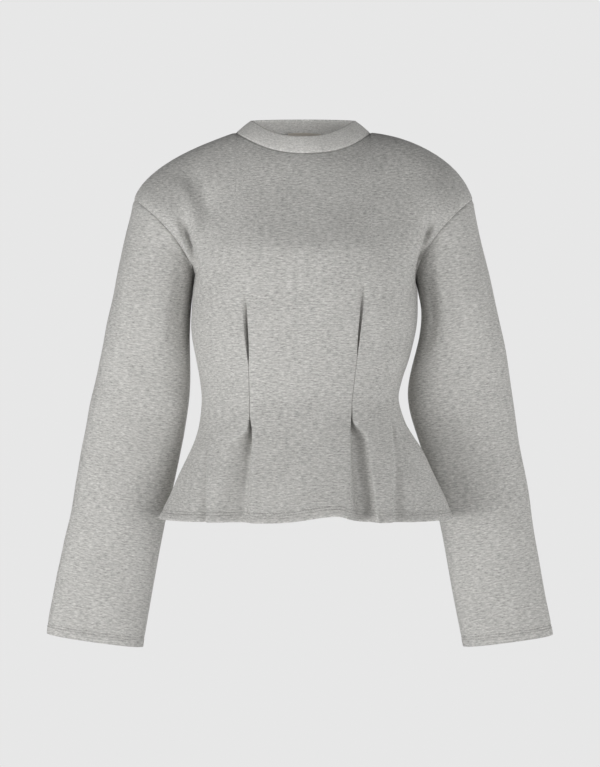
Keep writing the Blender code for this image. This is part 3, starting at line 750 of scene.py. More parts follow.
def fold_ways(grid, facing):
    """The way in which folds move each point of a panel: its own normal on the yoke, and straight out of
    the plain ring below it, so that the two walls of a tuck move together."""
    ways = point_normals(grid, False, -facing)
    level = level_normals(grid[:BODY_LAST + 1], facing)
    share = fade(grid[:BODY_LAST + 1, :, 2:], UNDERARM_Z - YOKE_BLEND, YOKE_BLEND)
    ways[:BODY_LAST + 1] = unit(level + (ways[:BODY_LAST + 1] - level) * share)
    return ways


def fold_heights(across, down, folds):
    """Height of the cloth over its plain form where soft folds run over it. Each fold is a Gaussian ridge
    or trough along a curve through three points, and fades out towards both ends."""
    t = np.linspace(0, 1, FOLD_POINTS)
    total = np.zeros(across.shape)
    for fold in folds:
        f = dict(zip(FOLD_COLUMNS, fold))
        line_x = (1 - t) ** 2 * f["x0"] + 2 * t * (1 - t) * f["x_mid"] + t**2 * f["x1"]
        line_z = (1 - t) ** 2 * f["z0"] + 2 * t * (1 - t) * f["z_mid"] + t**2 * f["z1"]
        square = (across[..., None] - line_x * MM) ** 2 + (down[..., None] - line_z * MM) ** 2
        nearest = np.argmin(square, axis=-1)
        along = t[nearest]
        ends = smooth(along / FOLD_ENDS) * smooth((1 - along) / FOLD_ENDS)
        square = np.take_along_axis(square, nearest[..., None], axis=-1)[..., 0]
        total += f["height"] * MM * np.exp(-square / (f["width"] * MM) ** 2) * ends
    return total


def slack(across, down, seed):
    """Slight unevenness of hanging cloth: a sum of a few long sine waves with fixed directions and
    phases."""
    draws = np.random.default_rng(seed)
    total = np.zeros(across.shape)
    for length in SLACK_LENGTHS:
        way, phase = draws.uniform(0, np.pi), draws.uniform(0, 2 * np.pi)
        total += length * np.sin(2 * np.pi * (across * np.cos(way) + down * np.sin(way)) / length + phase)
    return total * SLACK_SLOPE


def courses(grid):
    """How far up the cloth each point of a panel lies, so that the rows of loops hang level: its height,
    and what the cloth's lean adds to it, which fades out towards the armholes, where the panel stays
    flat."""
    extra = arc_lengths(grid, 0) - (grid[..., 2] - grid[:1, :, 2])
    body = extra[:BODY_LAST + 1].mean(axis=1, keepdims=True)
    out = np.abs(grid[BODY_LAST, :, 0]) / np.abs(grid[BODY_LAST, :, 0]).max()
    yoke = (extra[BODY_LAST:] - extra[BODY_LAST]) * (1 - fade(out, 0.45, 0.5))
    return grid[..., 2] + np.concatenate([body + 0 * extra[:BODY_LAST + 1], body[-1] + yoke[1:]])


def hem_relief(distance, depth):
    """Height over the plain form near a turned hem: the doubled edge stands a little proud and the cloth
    sinks along the two rows of stitching."""
    height = HEM_PROUD * (1 - fade(distance, depth - HEM_FADE / 2, HEM_FADE))
    for row in (depth, depth - STITCH_ROWS_APART):
        height = height - STITCH_DIP * bump_at(distance - row, STITCH_DIP_WIDTH)
    return height


def hem_lining(distance, depth):
    """Extra thickness of the inside where the hem is turned up, from its edge to just past the
    stitching."""
    return HEM_TURNED * (1 - fade(distance, depth + HEM_FADE / 3, HEM_FADE / 2))


def worn_panel(name):
    """A panel as worn: its plain outer points, the same with folds, seam dips and hem, the unit moves
    inwards and its lining."""
    tucks, counts, facing, folds = PANELS[name]
    strength = settings().fold_strength
    grid = panel_form(tucks, counts, facing)
    x, z = grid[..., 0], grid[..., 2]
    sideways, upwards = arc_lengths(grid, 1), arc_lengths(grid, 0)
    from_side = np.minimum(sideways, sideways[:, -1:] - sideways)
    from_top = np.full(x.shape, FAR)
    from_top[BODY_LAST + 1:] = distance_to(grid[BODY_LAST + 1:], grid[-1])
    calm, edge = [smooth(from_side / side) * smooth(from_top / top) * smooth(upwards / hem)
                  for side, top, hem in (SLACK_FADES, FOLD_FADES)]
    height = strength * (fold_heights(x, z, folds) * edge + slack(x, z, SLACK_SEEDS[name]) * calm)
    height -= SEAM_DIP * (bump_at(from_side, SEAM_DIP_WIDTH) + bump_at(from_top, SEAM_DIP_WIDTH))
    height += hem_relief(upwards, HEM_DEPTH)
    worn = grid + fold_ways(grid, facing) * height[..., None]
    worn[..., 1] -= facing * strength * fold_heights(x, z, PITS) * edge
    inward = inner_offsets(worn, False, -facing)
    lining = worn + inward * (WALL + hem_lining(upwards, HEM_DEPTH))[..., None]
    return {"plain": grid, "worn": worn, "inward": inward, "lining": lining}


def join_edge(panels, places, rim, across):
    """Sets the panels' edges back from a seam by half its gap and turns their linings' edges to its rim."""
    count = len(panels["front"]["worn"][places["front"]])
    for name, rims, shifts in zip(panels, split_loop(rim, count), split_loop(across, count)):
        worn, lining = panels[name]["worn"], panels[name]["lining"]
        worn[places[name]] -= shifts * SEAM_GAP / 2
        lining[places[name]] = worn[places[name]] + rims * WALL


def edge_loops(panels, places, *kinds):
    """The loops of a seam that runs over both panels, one for each of these kinds of points."""
    return [seam_loop(*(panels[name][kind][places[name]] for name in panels)) for kind in kinds]


def join_neck(panels):
    """Matches the panels at the neck seam, and keeps the seam for the band."""
    places = {}
    for name, panel in panels.items():
        low, high = neck_columns(panel["plain"][BODY_LAST])
        places[name] = (-1, slice(low, high + 1))
    neck, inward = edge_loops(panels, places, "worn", "inward")
    rim, across = seam_frame(neck, inward, inward, neck * [-1, -1, 0] + [0, 0, 0.02])
    join_edge(panels, places, rim, across)
    FORMS["neck"] = (neck, across, rim)


def worn_sleeve(name, panels):
    """A sleeve as worn. It starts on the panels' edges, which are set back and turned to meet it."""
    side, column = (1, -1) if name.endswith("left") else (-1, 0)
    places = dict.fromkeys(panels, (slice(BODY_LAST, None), column))
    loop, sunk, loop_in = edge_loops(panels, places, "plain", "worn", "inward")
    shares = np.concatenate([[0], panel_rows()[1]])
    turn = np.concatenate([shares * np.pi, 2 * np.pi - shares[-2:0:-1] * np.pi])
    from_seam = np.minimum(turn, 2 * np.pi - turn)
    sleeve = sleeve_form(name, loop, turn)
    out = outward_sign(sleeve)
    normal = point_normals(sleeve, True, out)
    down = arc_lengths(sleeve, 0)
    from_cuff = down[-1:] - down
    radius = np.linalg.norm(sleeve - sleeve.mean(axis=1, keepdims=True), axis=2).mean(axis=1, keepdims=True)
    folds = np.array(SLEEVE_FOLDS[name], dtype=float)
    folds[:, [0, 2, 4]] = np.radians(folds[:, [0, 2, 4]]) / MM * radius.mean()
    sideways = turn * radius.mean() + 0 * down
    calm = smooth(down / SLEEVE_FADES[0]) * smooth(from_cuff / SLEEVE_FADES[1])
    waves = smooth(from_seam / SLEEVE_WRAP) * slack(sideways, down, SLACK_SEEDS[name])
    height = settings().fold_strength * calm * (fold_heights(sideways, down, folds) + waves)
    height += hem_relief(from_cuff, CUFF_DEPTH)
    height -= SLEEVE_SEAM_DIP * bump_at(from_seam * radius, SEAM_DIP_WIDTH)
    sleeve = sleeve + normal * height[..., None]
    sleeve += (sunk - loop) * bump_at(down[..., None], SEAM_DIP_WIDTH)
    inward = inner_offsets(sleeve, True, out)
    rim, across = seam_frame(sunk, loop_in, inward[0], [side, 0, -0.6])
    join_edge(panels, places, rim, across)
    sleeve[0] = sunk + across * SEAM_GAP / 2
    lining = sleeve + inward * (WALL + hem_lining(from_cuff, CUFF_DEPTH))[..., None]
    lining[0] = sleeve[0] + rim * WALL
    sleeve_round = np.concatenate([sleeve, sleeve[:, :1]], axis=1)
    up_round = np.concatenate([from_cuff, from_cuff[:, :1]], axis=1)
    FORMS[name] = (sleeve, lining, np.stack([arc_lengths(sleeve_round, 1), up_round], axis=2))


def close_panel(name, panel):
    """Sets the side and shoulder seams apart, and keeps the panel with its cloth coordinates."""
    on_shoulder = np.abs(panel["plain"][-1, :, 1]) < 1e-6
    for grid in (panel["worn"], panel["lining"]):
        grid[:BODY_LAST + 1, [0, -1], 1] = PANELS[name][2] * SEAM_GAP / 2
        grid[-1, on_shoulder, 1] = PANELS[name][2] * SEAM_GAP / 2
    sideways = arc_lengths(panel["worn"], 1)
    middle = sideways[:, sideways.shape[1] // 2][:, None]
    cloth = np.stack([sideways - middle, courses(panel["plain"])], axis=2)
    FORMS[name] = (panel["worn"], panel["lining"], cloth)


def worn_forms():
    """All fleece shells as (outer, inner, cloth coordinates), with the seams between them matched, and
    the neck seam. The panels come first, because the sleeves and the band start on their edges."""
    if not FORMS:
        panels = {name: worn_panel(name) for name in PANELS}
        join_neck(panels)
        for name in SLEEVE_RINGS:
            worn_sleeve(name, panels)
        for name, panel in panels.items():
            close_panel(name, panel)
    return FORMS


# Meshes

def shell_object(name, outer, inner, cloth, closed, round_start, round_end, material):
    """A closed wall from two grids of points: the outer rows, a rounded edge, the inner rows back again
    and a rounded edge at the start. Open sides are capped. The cloth coordinates become its UV map."""
    def edge(rows_out, rows_in, past):
        """The middle of a rim, pushed out past it."""
        away = unit(rows_out[0] - rows_out[1] + rows_in[0] - rows_in[1])
        return (rows_out[0] + rows_in[0]) / 2 + away * past
    start = edge(outer, inner, round_start)
    end = edge(outer[::-1], inner[::-1], round_end)
    ring = np.concatenate([start[None], outer, end[None], inner[::-1]])
    uv = np.concatenate([cloth[:1], cloth, cloth[-1:], cloth[::-1]])
    rows, columns = ring.shape[:2]
    index = np.arange(rows * columns).reshape(rows, columns)
    if closed:
        index = np.concatenate([index, index[:, :1]], axis=1)
    index_next, uv_next = np.roll(index, -1, axis=0), np.roll(uv, -1, axis=0)
    quads = np.stack([index[:, :-1], index[:, 1:], index_next[:, 1:], index_next[:, :-1]], axis=-1)
    corners = np.stack([uv[:, :-1], uv[:, 1:], uv_next[:, 1:], uv_next[:, :-1]], axis=2)
    faces, coordinates = [quads.reshape(-1, 4)], [corners.reshape(-1, 2)]
    if not closed:
        count = len(outer)
        outs, ins = index[1:count + 1], index[count + 2:][::-1]
        for column, flip in ((0, 1), (-1, -1)):
            out, into, side = outs[:, column], ins[:, column], cloth[:, column]
            cap = np.stack([out[:-1], out[1:], into[1:], into[:-1]], axis=1)
            cap_uv = np.stack([side[:-1], side[1:], side[1:], side[:-1]], axis=1)
            tips = np.array([[out[0], into[0], index[0, column]],
                             [into[-1], out[-1], index[count + 1, column]]])
            faces += [cap[:, ::flip], tips[:, ::flip]]
            coordinates += [cap_uv[:, ::flip].reshape(-1, 2), np.repeat(side[[0, -1]], 3, axis=0)]
    return mesh_object(name, ring.reshape(-1, 3), faces, np.concatenate(coordinates), material)


def mesh_object(name, points, faces, coordinates, material):
    """An object from points and arrays of faces, turned so that it encloses a positive volume, with its
    UV map."""
    volume = 0.0
    for part in faces:
        for k in range(1, part.shape[1] - 1):
            p, q, r = points[part[:, 0]], points[part[:, k]], points[part[:, k + 1]]
            volume += np.sum(p * np.cross(q, r))
    if volume <= 0:
        ends = np.cumsum([part.size for part in faces])[:-1]
        coordinates = np.concatenate([given.reshape(*part.shape, 2)[:, ::-1].reshape(-1, 2)
                                      for part, given in zip(faces, np.split(coordinates, ends))])
        faces = [part[:, ::-1] for part in faces]
    mesh = bpy.data.meshes.new(name)
    mesh.from_pydata(points.tolist(), [], [face for part in faces for face in part.tolist()])
    layer = mesh.uv_layers.new(name="cloth")
    layer.data.foreach_set("uv", coordinates.astype(np.float32).ravel())
    mesh.shade_smooth()
    mesh.set_sharp_from_angle(angle=SHARP_ANGLE)
    mesh.materials.append(material)
    thing = bpy.data.objects.new(name, mesh)
    bpy.context.scene.collection.objects.link(thing)
    return thing


def neckband_walls(pitch, height):
    """The neckband's outer and inner points and cloth coordinates. Ribs stand out from both sides as a
    cosine of the distance round. The wall closes towards its top edge as a quarter of an ellipse."""
    seam = [np.concatenate([part, part[:1]]) for part in FORMS["neck"]]
    run = run_along(seam[0])
    at = np.linspace(0, run[-1], BAND_AROUND, endpoint=False)
    loop, across, rim = [read_line(at, run, part) for part in seam]
    outer = band_form(loop + across * SEAM_GAP / 2, BAND_SHARES)
    offsets = inner_offsets(outer, True, outward_sign(outer))
    ribs = max(int(round(run[-1] / pitch)), 1)
    points_each = max(BAND_AROUND // ribs, 1)
    wave = height * (0.5 + 0.5 * np.cos(2 * np.pi * np.arange(BAND_AROUND) / points_each))[None, :, None]
    up = arc_lengths(outer, 0)[..., None]
    wave = wave * smooth(up / RIB_START)
    inner = outer + offsets * BAND_WALL
    outer = outer - offsets * wave
    inner[1:] += offsets[1:] * wave[1:]
    inner[0] = outer[0] + rim * BAND_WALL
    near = np.clip((up - up[-1:] + BAND_EDGE) / BAND_EDGE, 0, 0.97)
    half = (outer - inner) / 2 * np.sqrt(1 - near**2)
    middle = (outer + inner) / 2
    cloth = np.stack([at + 0 * up[..., 0], up[..., 0]], axis=2)
    cloth = np.concatenate([cloth, cloth[:, :1] + [run[-1], 0]], axis=1)
    return middle + half, middle - half, cloth


def label_walls():
    """The label's face and back over its rectangle on the inside of the back, just under the neck seam."""
    outer, lining, _ = FORMS["back"]
    low, high = neck_columns(lining[BODY_LAST])
    part = (slice(None, BODY_LAST - 1, -1), slice(low + 1, high))
    rows, ways = lining[part], -point_normals(lining, False, -1)[part]
    ways *= np.sign(np.sum(ways * (rows - outer[part]), axis=2, keepdims=True))
    columns = LABEL_X + np.linspace(-0.5, 0.5, LABEL_ACROSS) * LABEL_WIDTH
    down = np.linspace(LABEL_TOP, LABEL_BOTTOM, LABEL_DOWN)
    lines, turns = [np.array([read_line(columns, row[:, 0], values) for row, values in zip(rows, grid)])
                    for grid in (rows, ways)]
    place, way = [np.stack([read_curve(down, run_along(lines[:, k]), grid[:, k])
                            for k in range(LABEL_ACROSS)], axis=1) for grid in (lines, turns)]
    way = unit(way)
    cloth = np.stack(np.meshgrid(columns, down), axis=2)
    return place + way * (SEAM_GAP + LABEL_WALL), place + way * SEAM_GAP, cloth


def stitches(name, line, normal, closed):
    """A row of sewn stitches along a line of points on the cloth. Each is a thin round thread whose ends
    lie partly in the cloth, and which arches over it as a cosine."""
    pitch, thickness = settings().stitch_pitch, settings().thread_thickness
    if closed:
        line, normal = np.concatenate([line, line[:1]]), np.concatenate([normal, normal[:1]])
    run = run_along(line)
    count = int(run[-1] / pitch)
    middle = (np.arange(count) + 0.5) * run[-1] / count
    points = len(STITCH_TAPER)
    t = np.linspace(-1, 1, points)
    at = (middle[:, None] + t * pitch * STITCH_SHARE).ravel()
    path = read_curve(at, run, line).reshape(count, points, 3)
    up = unit(read_curve(at, run, normal).reshape(count, points, 3))
    side = unit(np.cross(unit(np.gradient(path, axis=1)), up))
    path = path + up * (thickness * (STITCH_FOOT + STITCH_ARCH * np.cos(t * np.pi / 2)))[:, None]
    turn = np.arange(STITCH_SIDES) / STITCH_SIDES * 2 * np.pi
    radius = thickness / 2 * STITCH_TAPER
    ring = side[:, :, None] * np.cos(turn)[:, None] + up[:, :, None] * np.sin(turn)[:, None]
    places = (path[:, :, None] + ring * radius[:, None, None]).reshape(-1, 3)
    cell = np.arange(points * STITCH_SIDES).reshape(points, STITCH_SIDES)
    beside = np.roll(cell, -1, axis=1)
    sides = np.stack([cell[:-1], beside[:-1], beside[1:], cell[1:]], axis=-1).reshape(-1, 4)
    ends = np.stack([cell[0, ::-1], cell[-1]])
    shift = np.arange(count)[:, None, None] * cell.size
    faces = [(sides + shift).reshape(-1, 4), (ends + shift).reshape(-1, STITCH_SIDES)]
    flat = np.zeros((sum(part.size for part in faces), 2))
    thread = shared("grey_thread", thread_material, settings().thread_colour)
    return mesh_object(name, places, faces, flat, thread)


def line_above_edge(grid, distance):
    """Each column's point at this distance along it from the grid's first row."""
    up = arc_lengths(grid, 0)
    return np.array([[np.interp(distance, up[:, c], grid[:, c, k]) for k in range(3)]
                     for c in range(grid.shape[1])])


# Materials

def node_at(tree, kind, inputs=(), **values):
    """A node of this kind with values set on it and its sockets linked or filled."""
    node = tree.nodes.new(kind)
    for key, value in values.items():
        setattr(node, key, value)
    for socket, value in dict(inputs).items():
        if hasattr(value, "is_output"):
            tree.links.new(value, node.inputs[socket])
        else:
            node.inputs[socket].default_value = value
    return node


def combine(tree, operation, a, b=0.0):
    """The output of a node that adds, multiplies or otherwise combines two values."""
    return node_at(tree, "ShaderNodeMath", {0: a, 1: b}, operation=operation).outputs[0]


def pattern(tree, vector, scale, detail=2.0, roughness=0.5):
    """Noise from -0.5 to 0.5 with its own scale along and across the cloth."""
    stretched = node_at(tree, "ShaderNodeVectorMath", {0: vector, 1: (*scale, 1.0)}, operation="MULTIPLY")
    noise = node_at(tree, "ShaderNodeTexNoise", {"Vector": stretched.outputs[0], "Scale": 1.0,
                                                 "Detail": detail, "Roughness": roughness})
    return combine(tree, "SUBTRACT", noise.outputs["Fac"], 0.5)


def new_material(name):
    """An empty node material with its shader."""
    material = bpy.data.materials.new(name)
    material.use_nodes = True
    tree = material.node_tree
    return material, tree, tree.nodes["Principled BSDF"]


def spread(tree, value, low, high, least, most):
    """The value's range from low to high laid over the range from least to most."""
    return node_at(tree, "ShaderNodeMapRange", {"Value": value, "From Min": low, "From Max": high,
                                                "To Min": least, "To Max": most}).outputs[0]


def finish_surface(tree, shader, colour, shade, rough, height, distance, strength):
    """Gives a surface its mean colour times a shade, its roughness, and a bump from a height."""
    tint = node_at(tree, "ShaderNodeVectorMath", {0: tuple(colour), "Scale": shade}, operation="SCALE")
    bump = node_at(tree, "ShaderNodeBump", {"Height": height, "Distance": distance, "Strength": strength})
    tree.links.new(tint.outputs[0], shader.inputs["Base Color"])
    tree.links.new(rough, shader.inputs["Roughness"])
    tree.links.new(bump.outputs[0], shader.inputs["Normal"])


def marl_material(name, colour, strength, streak_share):
    """Marl knit: light and dark fibres spun together show as short streaks along the rows of loops, over
    finer flecks and soft clouds. The loops and stray fibres stand out as bump."""
    material, tree, shader = new_material(name)
    cloth = node_at(tree, "ShaderNodeUVMap", uv_map="cloth").outputs[0]
    streaks = pattern(tree, cloth, (130.0, 520.0), 2.0, 0.6)
    flecks = pattern(tree, cloth, (330.0, 900.0), 1.0)
    clouds = pattern(tree, cloth, (26.0, 34.0), 3.0)
    total = combine(tree, "MULTIPLY", streaks, streak_share)
    total = combine(tree, "ADD", total, combine(tree, "MULTIPLY", flecks, 0.55))
    total = combine(tree, "ADD", total, combine(tree, "MULTIPLY", clouds, 0.16))
    shade = combine(tree, "ADD", combine(tree, "MULTIPLY", total, strength), 1.0)
    loops = pattern(tree, cloth, (620.0, 760.0), 1.0)
    relief = combine(tree, "ADD", loops, combine(tree, "MULTIPLY", streaks, 0.6))
    rough = spread(tree, flecks, -0.3, 0.3, 0.84, 0.98)
    finish_surface(tree, shader, colour, shade, rough, relief, 0.0004, 0.5)
    shader.inputs["Specular IOR Level"].default_value = 0.2
    shader.inputs["Sheen Weight"].default_value = 0.12
    shader.inputs["Sheen Roughness"].default_value = 0.6
    return material


def tape_material(name, colour):
    """Plain woven cotton tape: the fine diagonal wave of a twill, slightly uneven."""
    material, tree, shader = new_material(name)
    cloth = node_at(tree, "ShaderNodeUVMap", uv_map="cloth").outputs[0]
    parts = node_at(tree, "ShaderNodeSeparateXYZ", {0: cloth})
    slope = combine(tree, "ADD", parts.outputs[0], combine(tree, "MULTIPLY", parts.outputs[1], 1.6))
    twill = combine(tree, "SINE", combine(tree, "MULTIPLY", slope, 7800.0))
    uneven = pattern(tree, cloth, (300.0, 300.0), 3.0)
    waves, clouds = combine(tree, "MULTIPLY", twill, 0.03), combine(tree, "MULTIPLY", uneven, 0.16)
    shade = combine(tree, "ADD", combine(tree, "ADD", waves, clouds), 1.0)
    rough = spread(tree, uneven, -0.3, 0.3, 0.7, 0.85)
    finish_surface(tree, shader, colour, shade, rough, twill, 0.0001, 0.4)
    return material


def thread_material(name, colour):
    """Spun sewing thread, matt with a faint uneven shade."""
    material, tree, shader = new_material(name)
    place = node_at(tree, "ShaderNodeTexCoord").outputs["Object"]
    noise = node_at(tree, "ShaderNodeTexNoise", {"Vector": place, "Scale": 900.0, "Detail": 2.0})
    uneven = noise.outputs["Fac"]
    shade = combine(tree, "ADD", combine(tree, "MULTIPLY", uneven, 0.3), 0.85)
    rough = spread(tree, uneven, 0, 1, 0.55, 0.75)
    finish_surface(tree, shader, colour, shade, rough, uneven, 0.0001, 0.3)
    return material


def shared(name, make, *values):
    """A material made once and used by several pieces."""
    found = bpy.data.materials.get(name)
    return found if found else make(name, *values)


def settings():
    """The garment's sizes and colours in this scene."""
    return bpy.context.scene.peplum_top


# Properties, operators and panel

class GarmentSettings(bpy.types.PropertyGroup):
    """Sizes and colours of the top that a user would change."""
    fold_strength: FloatProperty(name="Fold strength",
                                 description="How high the soft creases stand, as a factor",
                                 default=1.0, min=0.0, max=2.0, subtype="FACTOR")
    rib_pitch: FloatProperty(name="Rib pitch", description="Distance from rib to rib of the neckband",
                             default=0.0022, min=0.0012, max=0.006, precision=4, unit="LENGTH")
    rib_height: FloatProperty(name="Rib height", description="How far the neckband's ribs stand out",
                              default=0.00032, min=0.0, max=0.001, precision=5, unit="LENGTH")
    stitch_pitch: FloatProperty(name="Stitch length",
                                description="Distance from stitch to stitch of the hems",
                                default=0.0036, min=0.002, max=0.008, precision=4, unit="LENGTH")
    thread_thickness: FloatProperty(name="Thread thickness", description="Diameter of the sewing thread",
                                    default=0.0007, min=0.0002, max=0.001, precision=5, unit="LENGTH")
    streak_strength: FloatProperty(name="Marl contrast",
                                   description="How much the marl's fibres differ in tone",
                                   default=1.45, min=0.0, max=3.0, subtype="FACTOR")
    fleece_colour: FloatVectorProperty(name="Fleece colour",
                                       description="Mean colour of the grey marl fleece",
                                       default=(0.47, 0.464, 0.446), min=0.0, max=1.0, subtype="COLOR")
    rib_colour: FloatVectorProperty(name="Rib colour", description="Mean colour of the neckband's rib",
                                    default=(0.60, 0.592, 0.570), min=0.0, max=1.0, subtype="COLOR")
    label_colour: FloatVectorProperty(name="Label colour", description="Colour of the blank cotton label",
                                      default=(0.62, 0.58, 0.52), min=0.0, max=1.0, subtype="COLOR")
    thread_colour: FloatVectorProperty(name="Thread colour", description="Colour of the sewing thread",
                                       default=(0.30, 0.295, 0.285), min=0.0, max=1.0, subtype="COLOR")


class StudioSettings(bpy.types.PropertyGroup):
    """Light and ground of the studio."""
    left_light: FloatProperty(name="Left light", description="Power of the light on the picture's left",
                              default=39.6, min=0.0, unit="POWER")
    low_light: FloatProperty(name="Low light", description="Power of the low light left of the camera",
                             default=19.5, min=0.0, unit="POWER")
    front_light: FloatProperty(name="Front light", description="Power of the light right of the camera",
                               default=31.8, min=0.0, unit="POWER")
    floor_light: FloatProperty(name="Floor light", description="Power of the low light on the right",
                               default=13.0, min=0.0, unit="POWER")
    right_light: FloatProperty(name="Right light", description="Power of the light on the picture's right",
                               default=18.5, min=0.0, unit="POWER")
    back_light: FloatProperty(name="Back light", description="Power of the light behind", default=85.0,
                              min=0.0, unit="POWER")
    collar_light: FloatProperty(name="Collar light", description="Power of the small light inside the neck",
                                default=0.032, min=0.0, precision=3, unit="POWER")
    ambient: FloatProperty(name="Ambient", description="Strength of the light from all round", default=0.12,
                           min=0.0, max=2.0, subtype="FACTOR")
    backdrop_tone: FloatProperty(name="Backdrop tone", description="Brightness of the plain pale backdrop",
                                 default=0.80, min=0.0, max=1.0, subtype="FACTOR")


class PEPLUM_OT_panels(bpy.types.Operator):
    """Makes the front and the back: closed fleece walls with tucks, creases, seams and a turned hem"""
    bl_idname = "peplum.panels"
    bl_label = "Front and Back"

    def execute(self, context):
        for name in PANELS:
            make_fleece(name, "hem", HEM_DEPTH)
        return {"FINISHED"}


class PEPLUM_OT_sleeves(bpy.types.Operator):
    """Makes both sleeves: closed fleece tubes with creases and turned cuffs"""
    bl_idname = "peplum.sleeves"
    bl_label = "Sleeves"

    def execute(self, context):
        for name in SLEEVE_RINGS:
            make_fleece(name, "cuff", CUFF_DEPTH)
        return {"FINISHED"}


class PEPLUM_OT_neckband(bpy.types.Operator):
    """Makes the neckband: a folded band of rib knit that stands round the neck"""
    bl_idname = "peplum.neckband"
    bl_label = "Neckband"

    def execute(self, context):
        worn_forms()
        top = settings()
        rib = shared("marl_rib", marl_material, top.rib_colour, top.streak_strength, RIB_STREAKS)
        walls = neckband_walls(top.rib_pitch, top.rib_height)
        band = shell_object("neckband_rib", *walls, True, 0.0, EDGE_ROUND["tape"], rib)
        finish_piece(band, "neckband")
        return {"FINISHED"}


class PEPLUM_OT_label(bpy.types.Operator):
    """Makes the blank cotton label inside the back of the neck"""
    bl_idname = "peplum.label"
    bl_label = "Neck Label"

    def execute(self, context):
        worn_forms()
        tape = shared("cotton_tape", tape_material, settings().label_colour)
        edge = EDGE_ROUND["tape"]
        label = shell_object("label_tape", *label_walls(), False, edge, edge, tape)
        finish_piece(label, "neck_label")
        return {"FINISHED"}


class PEPLUM_OT_stage(bpy.types.Operator):
    """Makes the camera, the lights, the backdrop and the pale floor"""
    bl_idname = "peplum.stage"
    bl_label = "Studio"

    def execute(self, context):
        studio = context.scene.peplum_studio
        scene = context.scene
        camera = bpy.data.objects.new("camera", bpy.data.cameras.new("camera"))
        camera.data.lens = LENS
        camera.data.clip_end = CAMERA_REACH
        camera.data.dof.use_dof = False
        camera.location = CAMERA
        camera.rotation_euler = (HALF_PI, 0, 0)
        scene.collection.objects.link(camera)
        scene.camera = camera
        for name, (place, target, size) in LAMPS.items():
            lamp = bpy.data.lights.new(name, "AREA")
            lamp.shape = "SQUARE"
            lamp.size = size
            lamp.energy = getattr(studio, name)
            holder = bpy.data.objects.new(name, lamp)
            holder.location = place
            holder.rotation_euler = (Vector(target) - Vector(place)).to_track_quat("-Z", "Y").to_euler()
            holder.visible_camera = False
            scene.collection.objects.link(holder)
        floor_disc()
        scene.world = backdrop(studio.ambient, studio.backdrop_tone)
        scene.view_settings.view_transform = "Standard"
        return {"FINISHED"}


def floor_disc():
    """A plain pale disc for the ground, well below the hanging top."""
    turn = np.linspace(0, 2 * np.pi, 96, endpoint=False)
    rim = np.stack([np.cos(turn) * FLOOR_RADIUS, np.sin(turn) * FLOOR_RADIUS, 0 * turn + FLOOR_Z], axis=1)
    material, tree, shader = new_material("pale_floor")
    place = node_at(tree, "ShaderNodeTexCoord").outputs["Object"]
    cloudy = node_at(tree, "ShaderNodeTexNoise", {"Vector": place, "Scale": 3.0}).outputs["Fac"]
    tree.links.new(spread(tree, cloudy, 0, 1, 0.75, 0.9), shader.inputs["Roughness"])
    shader.inputs["Base Color"].default_value = (FLOOR_TONE, FLOOR_TONE, FLOOR_TONE, 1)
    mesh = bpy.data.meshes.new("floor")
    mesh.from_pydata(rim.tolist(), [], [list(range(len(rim)))])
    mesh.materials.append(material)
    floor = bpy.data.objects.new("floor", mesh)
    bpy.context.scene.collection.objects.link(floor)
    return floor


def backdrop(ambient, tone):
    """A world that the camera sees as a plain pale backdrop, and that lights the cloth more dimly."""
    world = bpy.data.worlds.new("backdrop")
    world.use_nodes = True
    tree = world.node_tree
    seen = node_at(tree, "ShaderNodeLightPath").outputs["Is Camera Ray"]
    tree.links.new(spread(tree, seen, 0, 1, ambient, tone), tree.nodes["Background"].inputs["Strength"])
    tree.nodes["Background"].inputs["Color"].default_value = (1, 1, 1, 1)
    return world


def finish_piece(thing, node):
    """The piece rides with the part and stands for its CAD node, which it hides."""
    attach(thing, "root")
    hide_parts(node)


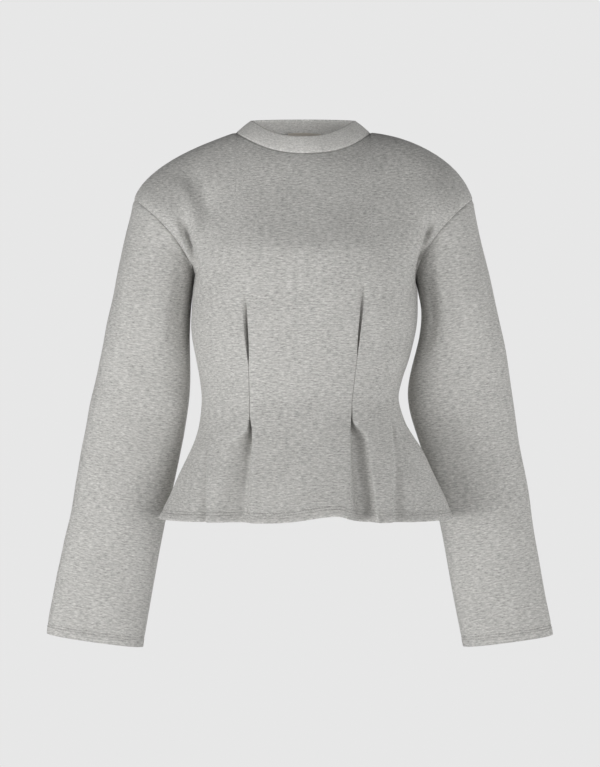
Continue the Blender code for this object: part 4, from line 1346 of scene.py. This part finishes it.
def make_fleece(name, edge, depth):
    """One fleece piece with the two rows of stitching along its hem, which is a panel's first row, or
    along its cuff, which is a sleeve's last."""
    outer, inner, cloth = worn_forms()[name]
    tube = edge == "cuff"
    top = settings()
    fleece = shared("marl_fleece", marl_material, top.fleece_colour, top.streak_strength, FLEECE_STREAKS)
    rounding = (0.0, EDGE_ROUND[edge]) if tube else (EDGE_ROUND[edge], 0.0)
    wall = shell_object(name + "_fleece", outer, inner, cloth, tube, *rounding, fleece)
    if tube:
        outer, inner = outer[::-1], inner[::-1]
    rows = [stitches(f"{name}_{edge}_stitches_{number}", line_above_edge(outer, distance),
                     line_above_edge(outer - inner, distance), tube)
            for number, distance in enumerate((depth, depth - STITCH_ROWS_APART), 1)]
    finish_piece(wall, name)
    for row in rows:
        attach(row, "root")


class PEPLUM_PT_panel(bpy.types.Panel):
    """Lists the steps that make the top"""
    bl_idname = "PEPLUM_PT_panel"
    bl_label = "Peplum Top"
    bl_space_type = "VIEW_3D"
    bl_region_type = "UI"
    bl_category = "Peplum Top"

    def draw(self, context):
        column = self.layout.column()
        for group in (context.scene.peplum_top, context.scene.peplum_studio):
            for name in group.__annotations__:
                column.prop(group, name)
        for operator in OPERATORS:
            column.operator(operator.bl_idname)


OPERATORS = (PEPLUM_OT_stage, PEPLUM_OT_panels, PEPLUM_OT_sleeves, PEPLUM_OT_neckband, PEPLUM_OT_label)
CLASSES = (GarmentSettings, StudioSettings, *OPERATORS, PEPLUM_PT_panel)


def register():
    """Registers the classes and puts the settings on the scene."""
    for each in CLASSES:
        bpy.utils.register_class(each)
    bpy.types.Scene.peplum_top = PointerProperty(type=GarmentSettings)
    bpy.types.Scene.peplum_studio = PointerProperty(type=StudioSettings)


def unregister():
    """Takes the settings and the classes away again."""
    del bpy.types.Scene.peplum_studio
    del bpy.types.Scene.peplum_top
    for each in reversed(CLASSES):
        bpy.utils.unregister_class(each)


def main():
    """Makes the studio and every piece."""
    register()
    bpy.ops.peplum.stage()
    bpy.ops.peplum.panels()
    bpy.ops.peplum.sleeves()
    bpy.ops.peplum.neckband()
    bpy.ops.peplum.label()


if __name__ == "__main__":
    main()
